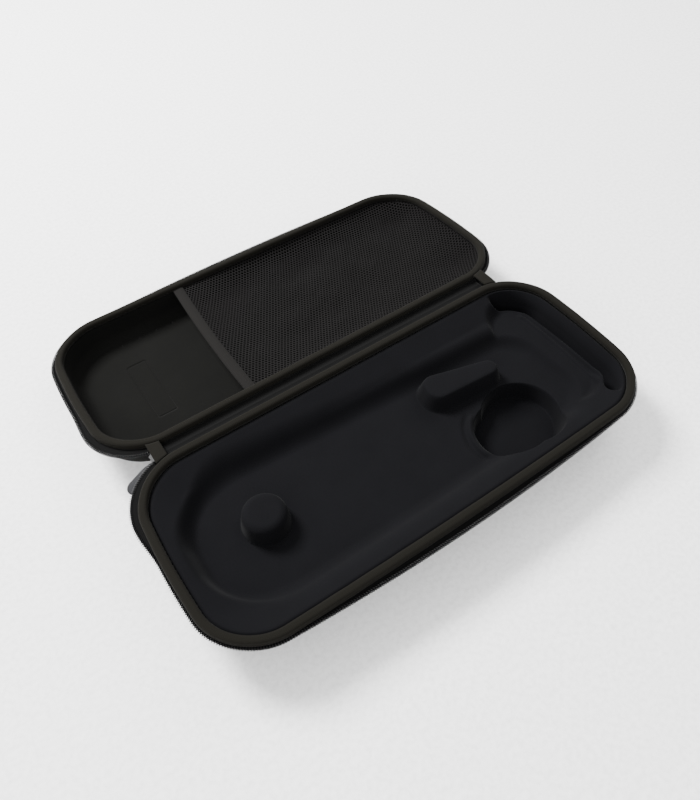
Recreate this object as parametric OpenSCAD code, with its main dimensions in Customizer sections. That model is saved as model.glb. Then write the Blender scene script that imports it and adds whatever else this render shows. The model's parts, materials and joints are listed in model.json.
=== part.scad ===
// Hard case with a zip, opened flat: a deep base with a moulded tray, and a shallow lid with a net pocket.
// Every outline is a rounded rectangle, and the walls are profiles swept along it.
// Profiles use u, the distance outwards from the rim outline, and z, the height above the rim plane.

/* [Case outline] */
// Length of the case over its bindings
case_l = 320; // [290:1:340]
// Width of one half over its bindings
case_w = 136.6; // [130:0.2:150]
// Corner radius of the rim in plan
corner_r = 36; // [32:1:40]

/* [Shells] */
// Height of the base up to its rim
base_h = 39.5; // [36:0.5:46]
// Height of the lid up to its rim
lid_h = 27; // [24:0.5:32]
// How far the base's walls lean in towards their foot
base_lean = 2.4; // [1:0.2:3.6]
// How far the lid's walls lean in towards their top
lid_lean = 1; // [0.4:0.2:1.6]
// Height of the upright stretch below the rim
upright_h = 9; // [9:0.5:11]
// Radius along the bottom edge of the base
base_edge_r = 14; // [11:0.5:16]
// Radius along the top edge of the lid
lid_edge_r = 12; // [9:0.5:14]
// Thickness of the outer fabric
cover_t = 1.0; // [0.8:0.1:1.4]
// Thickness of the moulded foam
foam_t = 2.2; // [1.8:0.1:3]
// Thickness of the inner fabric
lining_t = 0.6; // [0.5:0.1:0.9]
// Glue line between two layers
glue_t = 0.1; // [0.05:0.01:0.15]

/* [Binding] */
// Thickness of the binding tape
binding_t = 0.75; // [0.6:0.05:1]
// Height of the binding's legs
binding_h = 4.2; // [3.6:0.2:4.6]
// Radius along the binding's top edges
binding_r = 2.1; // [1.6:0.1:2.4]

/* [Tray] */
// Gap between the tray and the base lining
tray_gap = 0.3; // [0.2:0.05:0.6]
// Drop of the tray's rolled edge below the rim
roll_drop = 3.6; // [3:0.2:5]
// Radius of the tray's rolled edge
roll_r = 3; // [2.4:0.2:3.6]
// How far the shoulder round the tray falls towards the well
shoulder_fall = 5.2; // [3:0.2:6]
// Width of the sloping shoulder
shoulder_w = 16; // [12:1:17]
// Depth of the main well's floor below the rim
well_depth = 19; // [17:0.5:21]
// Lean of the main well's walls
well_draft = 34; // [20:1:40]
// Radius between the main well's walls and floor
well_fillet = 6; // [3:0.5:8]
// Depth of the raised end floor below the rim
step_depth = 14; // [13:0.5:16]
// Depth of the end channel below the rim
channel_depth = 27; // [22:0.5:29]
// Width of the end channel
channel_w = 8; // [6:0.5:10]
// Distance of the end channel from the rim outline
channel_in = 9.2; // [8.8:0.2:12]
// Radius of the fold lines beside the channel and the round pocket
fold_r = 1.3; // [0.8:0.1:1.6]

/* [Tray post] */
// Place of the post along the case
post_x = -97; // [-105:1:-85]
// Place of the post across the case
post_y = 3; // [-6:1:8]
// Radius of the post at its foot
post_foot_r = 14.5; // [13:0.5:17]
// Radius of the post below its dome
post_top_r = 12; // [10:0.5:13]
// Height of the post above the floor
post_h = 15.5; // [12:0.5:16]
// Rounding round the top of the post
post_dome_r = 4; // [2:0.5:6]

/* [Tray island] */
// Place of the island's wide end along the case
island_x = 35; // [32:1:42]
// Place of the island's wide end across the case
island_y = 20; // [15:1:22]
// Length of the island at its top
island_l = 53; // [46:1:56]
// Width of the island's wide end
island_w = 20; // [16:1:22]
// Width of the island's narrow end
island_tip_w = 12; // [10.4:0.2:14]
// Turn of the island in plan
island_turn = -10; // [-14:1:0]
// Height of the island above the floor
island_h = 12.5; // [9:0.5:14]
// Corner radius of the island at its top
island_r = 5; // [3:0.5:5]
// Spread of the island from its top to its foot
island_spread = 3; // [1:0.5:4]

/* [Round pocket] */
// Place of the round pocket along the case
pocket_x = 80; // [76:1:84]
// Place of the round pocket across the case
pocket_y = -26; // [-28:1:-22]
// Radius of the round pocket at its mouth
pocket_r = 27; // [24:0.5:28]
// Radius of the pocket's side bay at its mouth
bay_r = 23; // [18:0.5:24]
// Shift of the side bay along the case
bay_x = -14; // [-16:1:-8]
// Shift of the side bay across the case
bay_y = -3; // [-4:0.5:2]
// Depth of the round pocket below the rim
pocket_depth = 33; // [28:0.5:34]
// Narrowing of the pocket from its mouth to its floor
pocket_taper = 2; // [1:0.5:4]

/* [Lid inside] */
// Place of the elastic band along the lid
band_x = -57.6; // [-80:0.2:-50]
// Width of the elastic band
band_w = 8.2; // [6:0.2:10]
// Turn of the elastic band in plan
band_turn = 2.2; // [-5:0.2:5]
// Thickness of the elastic band
band_t = 1.4; // [1:0.1:1.8]
// Thickness of the net pocket
net_t = 0.8; // [0.6:0.1:1.2]
// Depth of the net pocket below the rim
net_drop = 4.6; // [4.4:0.1:6]
// Gap between the net pocket and what is round it
net_gap = 0.2; // [0.1:0.05:0.4]
// Place of the bare pressed frame along the lid
panel_x = -109; // [-116:1:-100]
// Length of the pressed frame across the lid
panel_l = 58; // [40:1:70]
// Width of the pressed frame
panel_w = 14; // [10:1:18]
// Corner radius of the pressed frame
panel_r = 1.5; // [0.8:0.1:3]
// Width of the pressed line
panel_line = 0.9; // [0.5:0.1:1.4]
// Depth of the pressed line
panel_depth = 0.35; // [0.2:0.05:0.4]

/* [Zip] */
// Thickness of the zip tape
tape_t = 0.8; // [0.6:0.1:0.9]
// How much further the tape stands out at the middle of a side
tape_flare = 1; // [0.5:0.5:9]
// Pitch of the coil, drawn at twice the real one
coil_pitch = 3; // [1.5:0.1:4]
// Width of the coil
coil_w = 2.6; // [2:0.1:3]
// Thickness of the coil
coil_t = 2.0; // [1.6:0.1:2.2]

/* [Hinge] */
// Gap between the two rims at the hinge
hinge_gap = 11.8; // [10:0.2:14]
// Gap between the closed bindings
rim_gap = 0.5; // [0.4:0.1:1]
// How far the fabric hinge runs past the straight side at each end
hinge_over = 1; // [-14:1:2]
// Thickness of the outer hinge fabric
spine_t = 0.9; // [0.6:0.1:1.2]
// Thickness of the inner hinge fabric
inner_strip_t = 0.6; // [0.4:0.1:0.8]
// Drop of the hinge fold below the rims
fold_drop = 7.5; // [7:0.5:10]
// Length of each end patch, from the hinge to just past the zip's end
patch_l = 9; // [6:0.5:12]
// Thickness of the end patches
patch_t = 1.2; // [0.8:0.1:1.3]
// Drop of the end patches below the rims
patch_drop = 0.7; // [0.5:0.1:0.8]

/* [Slider] */
// Angle of the slider round the corner at rest, from the length of the case
slider_rest = 100; // [99:0.5:104]
// Travel of the slider round the corner
slider_travel = 66; // [30:1:70]
// Length of the slider
slider_l = 9.4; // [8:0.2:11]
// Width of the slider
slider_w = 8; // [7.6:0.1:8.2]
// Thickness of each slider plate
plate_t = 1.1; // [0.9:0.1:1.2]
// Clearance round the coil inside the slider
coil_clear = 0.35; // [0.3:0.05:0.5]
// Clearance between the slider and the binding
slider_clear = 0.4; // [0.3:0.05:0.6]
// Height of the bridge under the slider
bridge_h = 3.4; // [3:0.1:4]
// Diameter of the pull's wire
wire_d = 1.3; // [1:0.1:1.4]
// Length of the pull from its axis to its tip
pull_l = 27; // [22:1:28]
// Width of the pull tab
tab_w = 9; // [7:0.5:9.5]
// Thickness of the pull tab
tab_t = 2.4; // [2.2:0.1:3]
// Droop of the pull tab at rest
tab_droop = 20; // [10:1:40]

/* [Hidden] */
$fn = 64;

// Colours as the photograph shows them
fabric_black = "#1b1b1a";
lining_black = "#1e1d1b";
jersey_black = "#1d1e22";
binding_brown = "#35332c";
coil_black = "#151515";
metal_dark = "#2c2c2e";
tab_grey = "#3a3a3e";

// Outline in plan
half_l = case_l / 2;
half_w = case_w / 2;
corner_x = half_l - corner_r;
corner_y = half_w - corner_r;

// Wall layers, counted from the rim outline inwards
cover_in = binding_t + glue_t;
foam_in = cover_in + cover_t + glue_t;
lining_in = foam_in + foam_t + glue_t;
wall_in = lining_in + lining_t;
binding_w = wall_in + glue_t + binding_t;
core_in = 26;

// Tray
tray_d = wall_in - cover_in + tray_gap;
roll_u = -wall_in - tray_gap - roll_r;
roll_z = -roll_drop - roll_r;
shoulder_z = -roll_drop - shoulder_fall;
well_corners = [[-101.5, 7, 43], [-101.5, -7, 43], [100, 9, 29], [104, -22, 27]];
step_corners = [[126, 33, 19], [122, -25, 20], [104, -12, 20]];
step_draft = 25;
step_fillet = 3;
channel_rear = 72;
channel_front = 40;
fold_rear = 30;
fold_front = 35;
fold_gap = 2.4;
bay_fold_from = 120;
bay_fold_turn = 80;
open_top = 1;
seat = 0.5;
arc_steps = 24;

// Hinge
hinge_half_l = corner_x + hinge_over;
patch_x = hinge_half_l + 1;
hinge_y = half_w + hinge_gap / 2;
hinge_z = base_h + rim_gap / 2;

// Lean at which the lid's far edge meets the surface that the case lies on
lid_arc_y = hinge_y + half_w - cover_in - lid_lean - lid_edge_r;
lid_arc_z = lid_h - lid_edge_r + rim_gap / 2;
open_lean = asin((hinge_z - lid_edge_r) / norm([lid_arc_y, lid_arc_z])) - atan2(lid_arc_z, lid_arc_y);

patch_gap = 0.15;

// Zip
zip_end_x = patch_x + patch_l - 1;
flange_t = 0.9;
tape_z = -binding_h - glue_t;
coil_z = tape_z - tape_t / 2;
tape_out = slider_clear + flange_t + coil_clear + coil_w;
edge_r = corner_r + tape_out;
flare_turn = 2 * atan(tape_flare / corner_x);
flare_r = corner_x / sin(flare_turn) + edge_r;
zip_turn = acos((zip_end_x - corner_x) / edge_r);

// Slider and its pull
corner_cut = 1.2;
mouth_cut = 1.8;
bridge_w = 1.9;
pin_clear = 0.05;
tab_root = 5;
wire_in = 4;
tab_neck = 6.4;
tab_taper = 5;
cavity_h = coil_t + 2 * coil_clear;
slider_h = cavity_h + 2 * plate_t;
link_w = 5.2;

// Distance from a leaning wall's upper edge to the centre of the fillet at its foot
function fillet_shift(drop, r, lean) = (r + sin(lean) * (drop - r)) / cos(lean);

// Run of the coil's outer edge: arcs as [centre x, centre y, radius, start angle, sweep],
// straights as [start x, start y, end x, end y]
zip_run = [
    [-corner_x, corner_y, edge_r, 180 - zip_turn, zip_turn],
    [-half_l - tape_out, corner_y, -half_l - tape_out, -corner_y],
    [-corner_x, -corner_y, edge_r, 180, 90 - flare_turn],
    [0, flare_r - half_w - tape_out - tape_flare, flare_r, 270 - flare_turn, 2 * flare_turn],
    [corner_x, -corner_y, edge_r, 270 + flare_turn, 90 - flare_turn],
    [half_l + tape_out, -corner_y, half_l + tape_out, corner_y],
    [corner_x, corner_y, edge_r, 0, zip_turn]];

// Length of one stretch of the run
function stretch(a) = len(a) == 5 ? a[4] * PI / 180 * a[2] : norm([a[2] - a[0], a[3] - a[1]]);

// Point at share t of a stretch, moved inwards by d
function spot(a, t, d) =
    len(a) == 5
        ? let (w = a[3] + a[4] * t) [a[0], a[1]] + (a[2] - d) * [cos(w), sin(w)]
        : [a[0] - sign(a[0]) * d, a[1] + (a[3] - a[1]) * t];

// Rim outline in plan, moved inwards by d
module rim_shape(d) {
    square([2 * (half_l - d), 2 * corner_y], center = true);
    square([2 * corner_x, 2 * (half_w - d)], center = true);
    for (x = [-corner_x, corner_x]) for (y = [-corner_y, corner_y]) {
        translate([x, y]) circle(corner_r - d);
    }
}

// Profile in u and z turned round corner k
module turn_corner(k, turn = 90) {
    x = (k == 0 || k == 3) ? corner_x : -corner_x;
    y = k < 2 ? corner_y : -corner_y;
    translate([x, y, 0]) rotate([0, 0, 90 * k])
        rotate_extrude(angle = turn, $fn = 96) translate([corner_r, 0]) children();
}

// Profile in u and z drawn along side k, starting with the right end
module draw_side(k) {
    rotate([0, 0, 90 * k]) rotate([90, 0, 0])
        linear_extrude(2 * (k % 2 == 0 ? corner_y : corner_x), center = true)
            translate([k % 2 == 0 ? half_l : half_w, 0]) children();
}

// Profile in u and z swept all the way round
module sweep() {
    for (k = [0:3]) {
        turn_corner(k) children();
        draw_side(k) children();
    }
}

// Quarter disc that rounds an upper edge
module quarter(r) {
    intersection() {
        circle(r, $fn = 32);
        square(r);
    }
}

// Filled section of a half of height h, moved inwards by d from its outer skin, under given edge points
module cup_section(h, r, lean, d, edge) {
    c = [-cover_in - lean - r, r - h];
    wall = [[-cover_in - d, -upright_h], c + [r - d, 0]];
    polygon(concat(edge, wall, [c, [c[0], d - h], [-core_in, d - h]]));
    translate(c) mirror([0, 1]) quarter(r - d);
}

// Plain upper edge of a section at height z
function plain_edge(d, z) = [[-core_in, z], [-cover_in - d, z]];

// One layer of a half: its swept wall and its flat floor
module layer(h, r, lean, d, t) {
    sweep() difference() {
        cup_section(h, r, lean, d, plain_edge(d, -binding_t - glue_t));
        cup_section(h, r, lean, d + t, plain_edge(d + t, 1));
    }
    translate([0, 0, d - h]) linear_extrude(t) rim_shape(core_in);
}

// Binding: a rounded tape folded over the edge of the wall
module binding() {
    sweep() difference() {
        union() {
            translate([-binding_w, -binding_h]) square([binding_w, binding_h - binding_r]);
            translate([-binding_w + binding_r, -binding_h])
                square([binding_w - 2 * binding_r, binding_h]);
            for (u = [-binding_r, binding_r - binding_w]) {
                translate([u, -binding_r]) circle(binding_r, $fn = 32);
            }
        }
        translate([binding_t - binding_w, -binding_h - 1])
            square([binding_w - 2 * binding_t, binding_h + 1 - binding_t]);
    }
}

// Zip tape: a flat strip from the wall out to the coil, open along the hinge
module zip_tape() {
    edge = [for (a = zip_run) for (i = [0:arc_steps]) spot(a, i / arc_steps, coil_w)];
    translate([0, 0, tape_z - tape_t]) linear_extrude(tape_t) difference() {
        polygon(edge);
        rim_shape(binding_t);
        translate([-zip_end_x, 0]) square([2 * zip_end_x, case_w]);
    }
}

// Coil row round three sides: a root strip with its turns standing out as teeth
module zip_coil() {
    tooth = [[0, coil_w / 3], [0.5, 0]];
    outer = [for (a = zip_run) let (count = round(stretch(a) / coil_pitch))
        for (i = [0:count - 1]) for (p = tooth) spot(a, (i + p[0]) / count, p[1])];
    inner = [for (k = [len(zip_run) - 1:-1:0]) for (i = [arc_steps:-1:0])
        spot(zip_run[k], i / arc_steps, coil_w - glue_t)];
    translate([0, 0, coil_z - coil_t / 2]) linear_extrude(coil_t) polygon(concat(outer, inner));
}

// Cut for one rounded corner of a well: leaning wall, filleted floor, open above
module bowl_corner(at, r, lip, floor, fillet, lean) {
    c = [r - fillet_shift(lip - floor, fillet, lean), floor + fillet];
    touch = c + fillet * [cos(lean), -sin(lean)];
    translate(at) rotate_extrude($fn = 32) {
        polygon([[0, open_top], [r + (open_top - lip) * tan(lean), open_top], touch, c,
            [c[0], floor], [0, floor]]);
        translate(c) circle(fillet, $fn = 32);
    }
}

// Main well: a broad cup that narrows towards the deep end
module main_well() {
    hull() for (k = well_corners)
        bowl_corner([k[0], k[1]], k[2], shoulder_z, -well_depth, well_fillet, well_draft);
}

// Raised floor between the well and the end channel
module end_step() {
    hull() for (k = step_corners)
        bowl_corner([k[0], k[1]], k[2], shoulder_z, -step_depth, step_fillet, step_draft);
}

// Profile swept round the right end, with the given turns of the rear and front corners
module sweep_end(rear, front) {
    turn_corner(0, rear) children();
    draw_side(0) children();
    mirror([0, 1, 0]) turn_corner(0, front) children();
}

// Crescent channel that follows the right end
module end_channel() {
    r = channel_w / 2;
    mid = channel_in + r;
    sweep_end(channel_rear, channel_front) translate([-mid, 0]) {
        translate([-r, -channel_depth + r]) square([channel_w, channel_depth]);
        translate([0, -channel_depth + r]) circle(r, $fn = 32);
    }
    for (tip = [[corner_y, channel_rear], [-corner_y, -channel_front]])
        translate([corner_x, tip[0], r - channel_depth])
            translate((corner_r - mid) * [cos(tip[1]), sin(tip[1]), 0]) {
                cylinder(h = channel_depth, r = r);
                sphere(r);
            }
}

// Round pocket with its side bay
module round_pocket() {
    depth = pocket_depth - well_depth;
    for (k = [[0, 0, pocket_r], [bay_x, bay_y, bay_r]])
        translate([pocket_x + k[0], pocket_y + k[1], -pocket_depth]) {
            cylinder(h = depth, r1 = k[2] - pocket_taper, r2 = k[2]);
            translate([0, 0, depth]) cylinder(h = well_depth, r = k[2]);
        }
}

// Domed post that a loop goes round
module post() {
    top = post_h - well_depth;
    c = [post_top_r - post_dome_r, top - post_dome_r];
    translate([post_x, post_y, 0]) rotate_extrude() {
        polygon([[0, -well_depth - seat], [post_foot_r, -well_depth - seat], [post_foot_r, -well_depth],
            [post_top_r, c[1]], c, [c[0], top], [0, top]]);
        translate(c) quarter(post_dome_r);
    }
}

// Tapered island with rounded corners
module island() {
    ends = [[island_r, island_w], [island_l - island_r, island_tip_w]];
    translate([island_x, island_y, -well_depth - seat]) rotate([0, 0, island_turn])
        hull() for (e = ends) for (s = [-1, 1])
            translate([e[0], s * (e[1] / 2 - island_r), 0])
                cylinder(h = island_h + seat, r1 = island_r + island_spread, r2 = island_r, $fn = 32);
}

// Raised fold lines beside the channel and round the pocket's bay
module folds() {
    for (k = [fold_gap, fold_gap + 2.6 * fold_r])
        sweep_end(fold_rear, fold_front) translate([-channel_in - channel_w - k, -step_depth])
            circle(fold_r, $fn = 24);
    translate([pocket_x + bay_x, pocket_y + bay_y, -well_depth]) rotate([0, 0, bay_fold_from])
        rotate_extrude(angle = bay_fold_turn) translate([bay_r + fold_gap, 0]) circle(fold_r, $fn = 24);
}

// Section of the tray's edge: rolled lip, sloping shoulder and the wall against the lining
module tray_section() {
    cup_section(base_h, base_edge_r, base_lean, tray_d, [[-core_in, shoulder_z],
        [roll_u - shoulder_w, shoulder_z], [roll_u, -roll_drop], [roll_u, roll_z],
        [roll_u + roll_r, roll_z]]);
    translate([roll_u, roll_z]) quarter(roll_r);
}

// Base half
module base_place() {
    translate([0, 0, base_h]) children();
}

module base_cover() {
    color(fabric_black) base_place() layer(base_h, base_edge_r, base_lean, 0, cover_t);
}

module base_foam() {
    color(lining_black) base_place() layer(base_h, base_edge_r, base_lean, foam_in - cover_in, foam_t);
}

module base_lining() {
    color(lining_black) base_place()
        layer(base_h, base_edge_r, base_lean, lining_in - cover_in, lining_t);
}

module tray() {
    color(jersey_black) base_place() {
        difference() {
            union() {
                sweep() tray_section();
                translate([0, 0, tray_d - base_h])
                    linear_extrude(shoulder_z - tray_d + base_h) rim_shape(core_in);
            }
            main_well();
            end_step();
            end_channel();
            round_pocket();
        }
        post();
        island();
        folds();
    }
}

module base_binding() {
    color(binding_brown) base_place() binding();
}

module base_zip_tape() {
    color(fabric_black) base_place() zip_tape();
}

module base_zip_coil() {
    color(coil_black) base_place() zip_coil();
}

// Lid half: drawn like the base, turned end for end across the hinge, and leaned back
module lid_place() {
    translate([0, hinge_y, hinge_z]) rotate([-open_lean, 0, 0])
        translate([0, hinge_y, -rim_gap / 2]) mirror([0, 1, 0]) children();
}

module lid_cover() {
    color(fabric_black) lid_place() layer(lid_h, lid_edge_r, lid_lean, 0, cover_t);
}

module lid_foam() {
    color(lining_black) lid_place() layer(lid_h, lid_edge_r, lid_lean, foam_in - cover_in, foam_t);
}

// Rounded rectangle about the origin
module rounded_rect(l, w, r) {
    square([l - 2 * r, w], center = true);
    square([l, w - 2 * r], center = true);
    for (x = [r - l / 2, l / 2 - r]) for (y = [r - w / 2, w / 2 - r]) translate([x, y]) circle(r);
}

module lid_lining() {
    floor_z = wall_in - cover_in - lid_h;
    color(lining_black) lid_place() difference() {
        layer(lid_h, lid_edge_r, lid_lean, lining_in - cover_in, lining_t);
        translate([panel_x, 0, floor_z - panel_depth]) linear_extrude(1) difference() {
            rounded_rect(panel_w, panel_l, panel_r);
            rounded_rect(panel_w - 2 * panel_line, panel_l - 2 * panel_line, panel_r - panel_line);
        }
    }
}

module lid_binding() {
    color(binding_brown) lid_place() binding();
}

module lid_zip_tape() {
    color(fabric_black) lid_place() zip_tape();
}

module lid_zip_coil() {
    color(coil_black) lid_place() zip_coil();
}

// Inside outline of the lid's binding
module lid_mouth() {
    rim_shape(binding_w + net_gap);
}

// The band's own frame, with y along the band
module band_place() {
    translate([band_x, 0]) rotate(band_turn) children();
}

module net_pocket() {
    color(coil_black) lid_place() translate([0, 0, -net_drop]) linear_extrude(net_t) intersection() {
        lid_mouth();
        band_place() translate([band_w / 2 + net_gap, -case_w]) square([case_l, 2 * case_w]);
    }
}

module elastic_band() {
    color(lining_black) lid_place() translate([0, 0, net_t / 2 - net_drop - band_t / 2])
        linear_extrude(band_t) intersection() {
            lid_mouth();
            band_place() square([band_w, 2 * case_w], center = true);
        }
}

// Points in Y and Z of the base's u and z behind its rim, and of the lid's where it lies opened
function base_spot(p) = [half_w + p[0], base_h + p[1]];
function lid_spot(p) =
    let (v = hinge_gap / 2 - p[0], w = p[1] - rim_gap / 2)
    [hinge_y, hinge_z] + v * [cos(open_lean), -sin(open_lean)] + w * [sin(open_lean), cos(open_lean)];

// Point where the two undersides of the fold meet, at depth z below the rims
function fold_spot(z) = [hinge_y + (z - rim_gap / 2) * tan(open_lean / 2), base_h + z];

// Strip of hinge fabric that runs down from one half, across the fold and up the other
module hinge_strip(inner_u, top, bottom, t) {
    outside = [[inner_u, top], [inner_u, bottom]];
    inside = [[inner_u + t, bottom + t], [inner_u + t, top]];
    rotate([90, 0, 90]) linear_extrude(2 * hinge_half_l, center = true) polygon([
        base_spot(outside[0]), base_spot(outside[1]), fold_spot(bottom),
        lid_spot(outside[1]), lid_spot(outside[0]), lid_spot(inside[1]), lid_spot(inside[0]),
        fold_spot(bottom + t), base_spot(inside[0]), base_spot(inside[1])]);
}

module hinge_spine() {
    color(fabric_black) hinge_strip(-binding_t, -binding_h - glue_t, -fold_drop, spine_t);
}

module hinge_inner_strip() {
    color(fabric_black) hinge_strip(spine_t - binding_t + glue_t, -binding_h - glue_t,
        -fold_drop + spine_t + glue_t, inner_strip_t);
}

// Half of the patch over one end of the hinge
module patch_half() {
    translate([0, 0, -patch_drop - patch_t]) linear_extrude(patch_t) difference() {
        translate([patch_x, corner_y]) square([patch_l, corner_r + hinge_gap / 2 + seat]);
        rim_shape(-patch_gap);
    }
}

module end_patch_right() {
    color(binding_brown) {
        base_place() patch_half();
        lid_place() patch_half();
    }
}

module end_patch_left() {
    mirror([1, 0, 0]) end_patch_right();
}

// Slider: its own frame has x along the coil, y outwards and z up, at the middle of its channel
module slider_place() {
    base_place() translate([-corner_x, corner_y, coil_z]) rotate([0, 0, slider_rest]) children();
}

// One plate: a shield with a notched mouth where the two rows part
module slider_plate() {
    tail = 0.3 * slider_w;
    side = slider_w / 2;
    tip = slider_l / 2;
    linear_extrude(plate_t) polygon([[-tip, -tail], [-tip, tail], [-0.1 * slider_l, side],
        [tip - corner_cut, side], [tip, side - corner_cut], [tip, corner_cut], [tip - mouth_cut, 0],
        [tip, -corner_cut],
        [tip, corner_cut - side], [tip - corner_cut, -side], [-0.1 * slider_l, -side]]);
}

// Ring sector about the corner's centre, as high as the channel
module slider_wall(r, t, span) {
    rotate([0, 0, -span / 2]) translate([0, 0, -cavity_h / 2 - seat])
        rotate_extrude(angle = span, $fn = 256) translate([r, 0]) square([t, cavity_h + 2 * seat]);
}

module slider_body() {
    r_in = corner_r + slider_clear;
    r_mid = r_in + slider_w / 2;
    span = 0.56 * slider_l / r_mid * 180 / PI;
    post_span = 0.3 * slider_l / r_mid * 180 / PI;
    color(metal_dark) slider_place() {
        difference() {
            union() {
                translate([r_mid, 0, cavity_h / 2]) rotate([0, 0, -90]) slider_plate();
                translate([r_mid, 0, -slider_h / 2]) rotate([0, 0, -90]) slider_plate();
                slider_wall(r_in, flange_t, span);
                slider_wall(r_in + slider_w - flange_t, flange_t, span);
                slider_wall(edge_r + coil_clear, flange_t, post_span);
            }
            tape_slot(r_in);
        }
        translate([r_mid, 0, -slider_h / 2]) bridge();
    }
}

// Slot in the inner flange that the tape runs through
module tape_slot(r) {
    h = tape_t + 2 * coil_clear;
    translate([0, 0, -h / 2]) rotate_extrude($fn = 256) translate([r - 1, 0])
        square([flange_t + 1 + coil_clear, h]);
}

// Bridge under the slider, bored for the pull's wire
module bridge() {
    r = bridge_h / 2;
    rotate([90, 0, 90]) difference() {
        translate([0, -bridge_h / 2, -bridge_w / 2]) {
            cylinder(h = bridge_w, r = r);
            translate([-r, 0, 0]) cube([2 * r, r + seat / 2, bridge_w]);
        }
        translate([0, -bridge_h / 2, -bridge_w]) cylinder(h = 2 * bridge_w, r = wire_d / 2 + pin_clear);
    }
}

// Pull: its own frame has x from the wire's axis to the tip
module pull_place() {
    slider_place() translate([corner_r + slider_clear + slider_w / 2, 0, -slider_h / 2 - bridge_h / 2])
        rotate([0, 0, 90]) rotate([0, tab_droop, 0]) children();
}

module pull_link() {
    arm = link_w / 2 - wire_d / 2;
    color(metal_dark) pull_place() {
        rotate([90, 0, 0]) cylinder(h = 2 * arm, d = wire_d, center = true);
        for (s = [-1, 1]) translate([0, s * arm, 0]) {
            sphere(d = wire_d);
            rotate([0, 90, 0]) cylinder(h = tab_root + wire_in, d = wire_d);
        }
    }
}

module pull_tab() {
    arm = link_w / 2 - wire_d / 2;
    tip_r = tab_w / 2;
    color(tab_grey) pull_place() difference() {
        translate([0, 0, -tab_t / 2]) linear_extrude(tab_t) {
            polygon([[tab_root, -tab_neck / 2], [tab_root + tab_taper, -tip_r], [pull_l - tip_r, -tip_r],
                [pull_l - tip_r, tip_r], [tab_root + tab_taper, tip_r], [tab_root, tab_neck / 2]]);
            translate([pull_l - tip_r, 0]) circle(tip_r);
        }
        for (s = [-1, 1]) translate([tab_root - seat, s * arm, 0])
            rotate([0, 90, 0]) cylinder(h = wire_in + 2 * seat, d = wire_d + 2 * pin_clear);
    }
}

base_cover();
base_foam();
base_lining();
tray();
base_binding();
base_zip_tape();
base_zip_coil();
lid_cover();
lid_foam();
lid_lining();
lid_binding();
lid_zip_tape();
lid_zip_coil();
net_pocket();
elastic_band();
hinge_spine();
hinge_inner_strip();
end_patch_left();
end_patch_right();
slider_body();
pull_link();
pull_tab();
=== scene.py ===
import json
import math

import bpy
import numpy as np
from bpy.props import FloatProperty, FloatVectorProperty, PointerProperty
from mathutils import Matrix, Vector, geometry, kdtree, noise


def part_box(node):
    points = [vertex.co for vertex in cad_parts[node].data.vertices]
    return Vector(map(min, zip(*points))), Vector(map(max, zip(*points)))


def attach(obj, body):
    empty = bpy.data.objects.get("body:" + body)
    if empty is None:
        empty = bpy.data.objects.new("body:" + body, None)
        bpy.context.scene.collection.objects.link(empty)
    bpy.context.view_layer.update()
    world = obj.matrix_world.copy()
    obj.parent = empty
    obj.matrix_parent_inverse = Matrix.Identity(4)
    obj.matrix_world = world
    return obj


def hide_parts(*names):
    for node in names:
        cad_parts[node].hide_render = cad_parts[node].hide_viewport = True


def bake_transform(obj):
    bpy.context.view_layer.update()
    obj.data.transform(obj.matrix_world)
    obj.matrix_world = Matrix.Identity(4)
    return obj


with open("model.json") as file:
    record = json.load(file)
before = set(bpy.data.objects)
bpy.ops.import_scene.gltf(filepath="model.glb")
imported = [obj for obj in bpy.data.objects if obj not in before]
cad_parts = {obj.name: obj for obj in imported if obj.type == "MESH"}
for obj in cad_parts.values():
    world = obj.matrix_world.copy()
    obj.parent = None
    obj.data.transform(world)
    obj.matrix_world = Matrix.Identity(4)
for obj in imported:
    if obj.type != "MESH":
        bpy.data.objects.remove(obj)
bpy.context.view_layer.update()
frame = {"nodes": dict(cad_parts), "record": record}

bl_info = {
    "name": "Zipped hard case",
    "version": (1, 0, 0),
    "blender": (4, 5, 0),
    "location": "3D View > Sidebar > Hard Case",
    "description": "Dresses a zipped hard case: moulded tray, net pocket, bindings, zip and fabric hinge",
    "category": "Object",
}

MM = 0.001

# What the frame fixes, in millimetres unless said otherwise
RIM_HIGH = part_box("base_binding")[1]
HALF_L = RIM_HIGH[0] / MM
HALF_W = RIM_HIGH[1] / MM
BASE_H = RIM_HIGH[2] / MM
JOINTS = {joint["name"]: joint for joint in frame["record"]["behaviour"]["joints"]}
HINGE_Y = JOINTS["lid_hinge"]["pos_m"][1] / MM
HINGE_Z = JOINTS["lid_hinge"]["pos_m"][2] / MM
LEAN = math.radians(JOINTS["lid_hinge"]["range_deg"][1] - 180)
RIM_GAP = 2 * (HINGE_Z - BASE_H)
LID_H = 27.0
TAPE_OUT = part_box("base_zip_coil")[1][0] / MM - HALF_L


def size_property(label, use, size):
    return FloatProperty(name=label, description=use, default=size)


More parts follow.
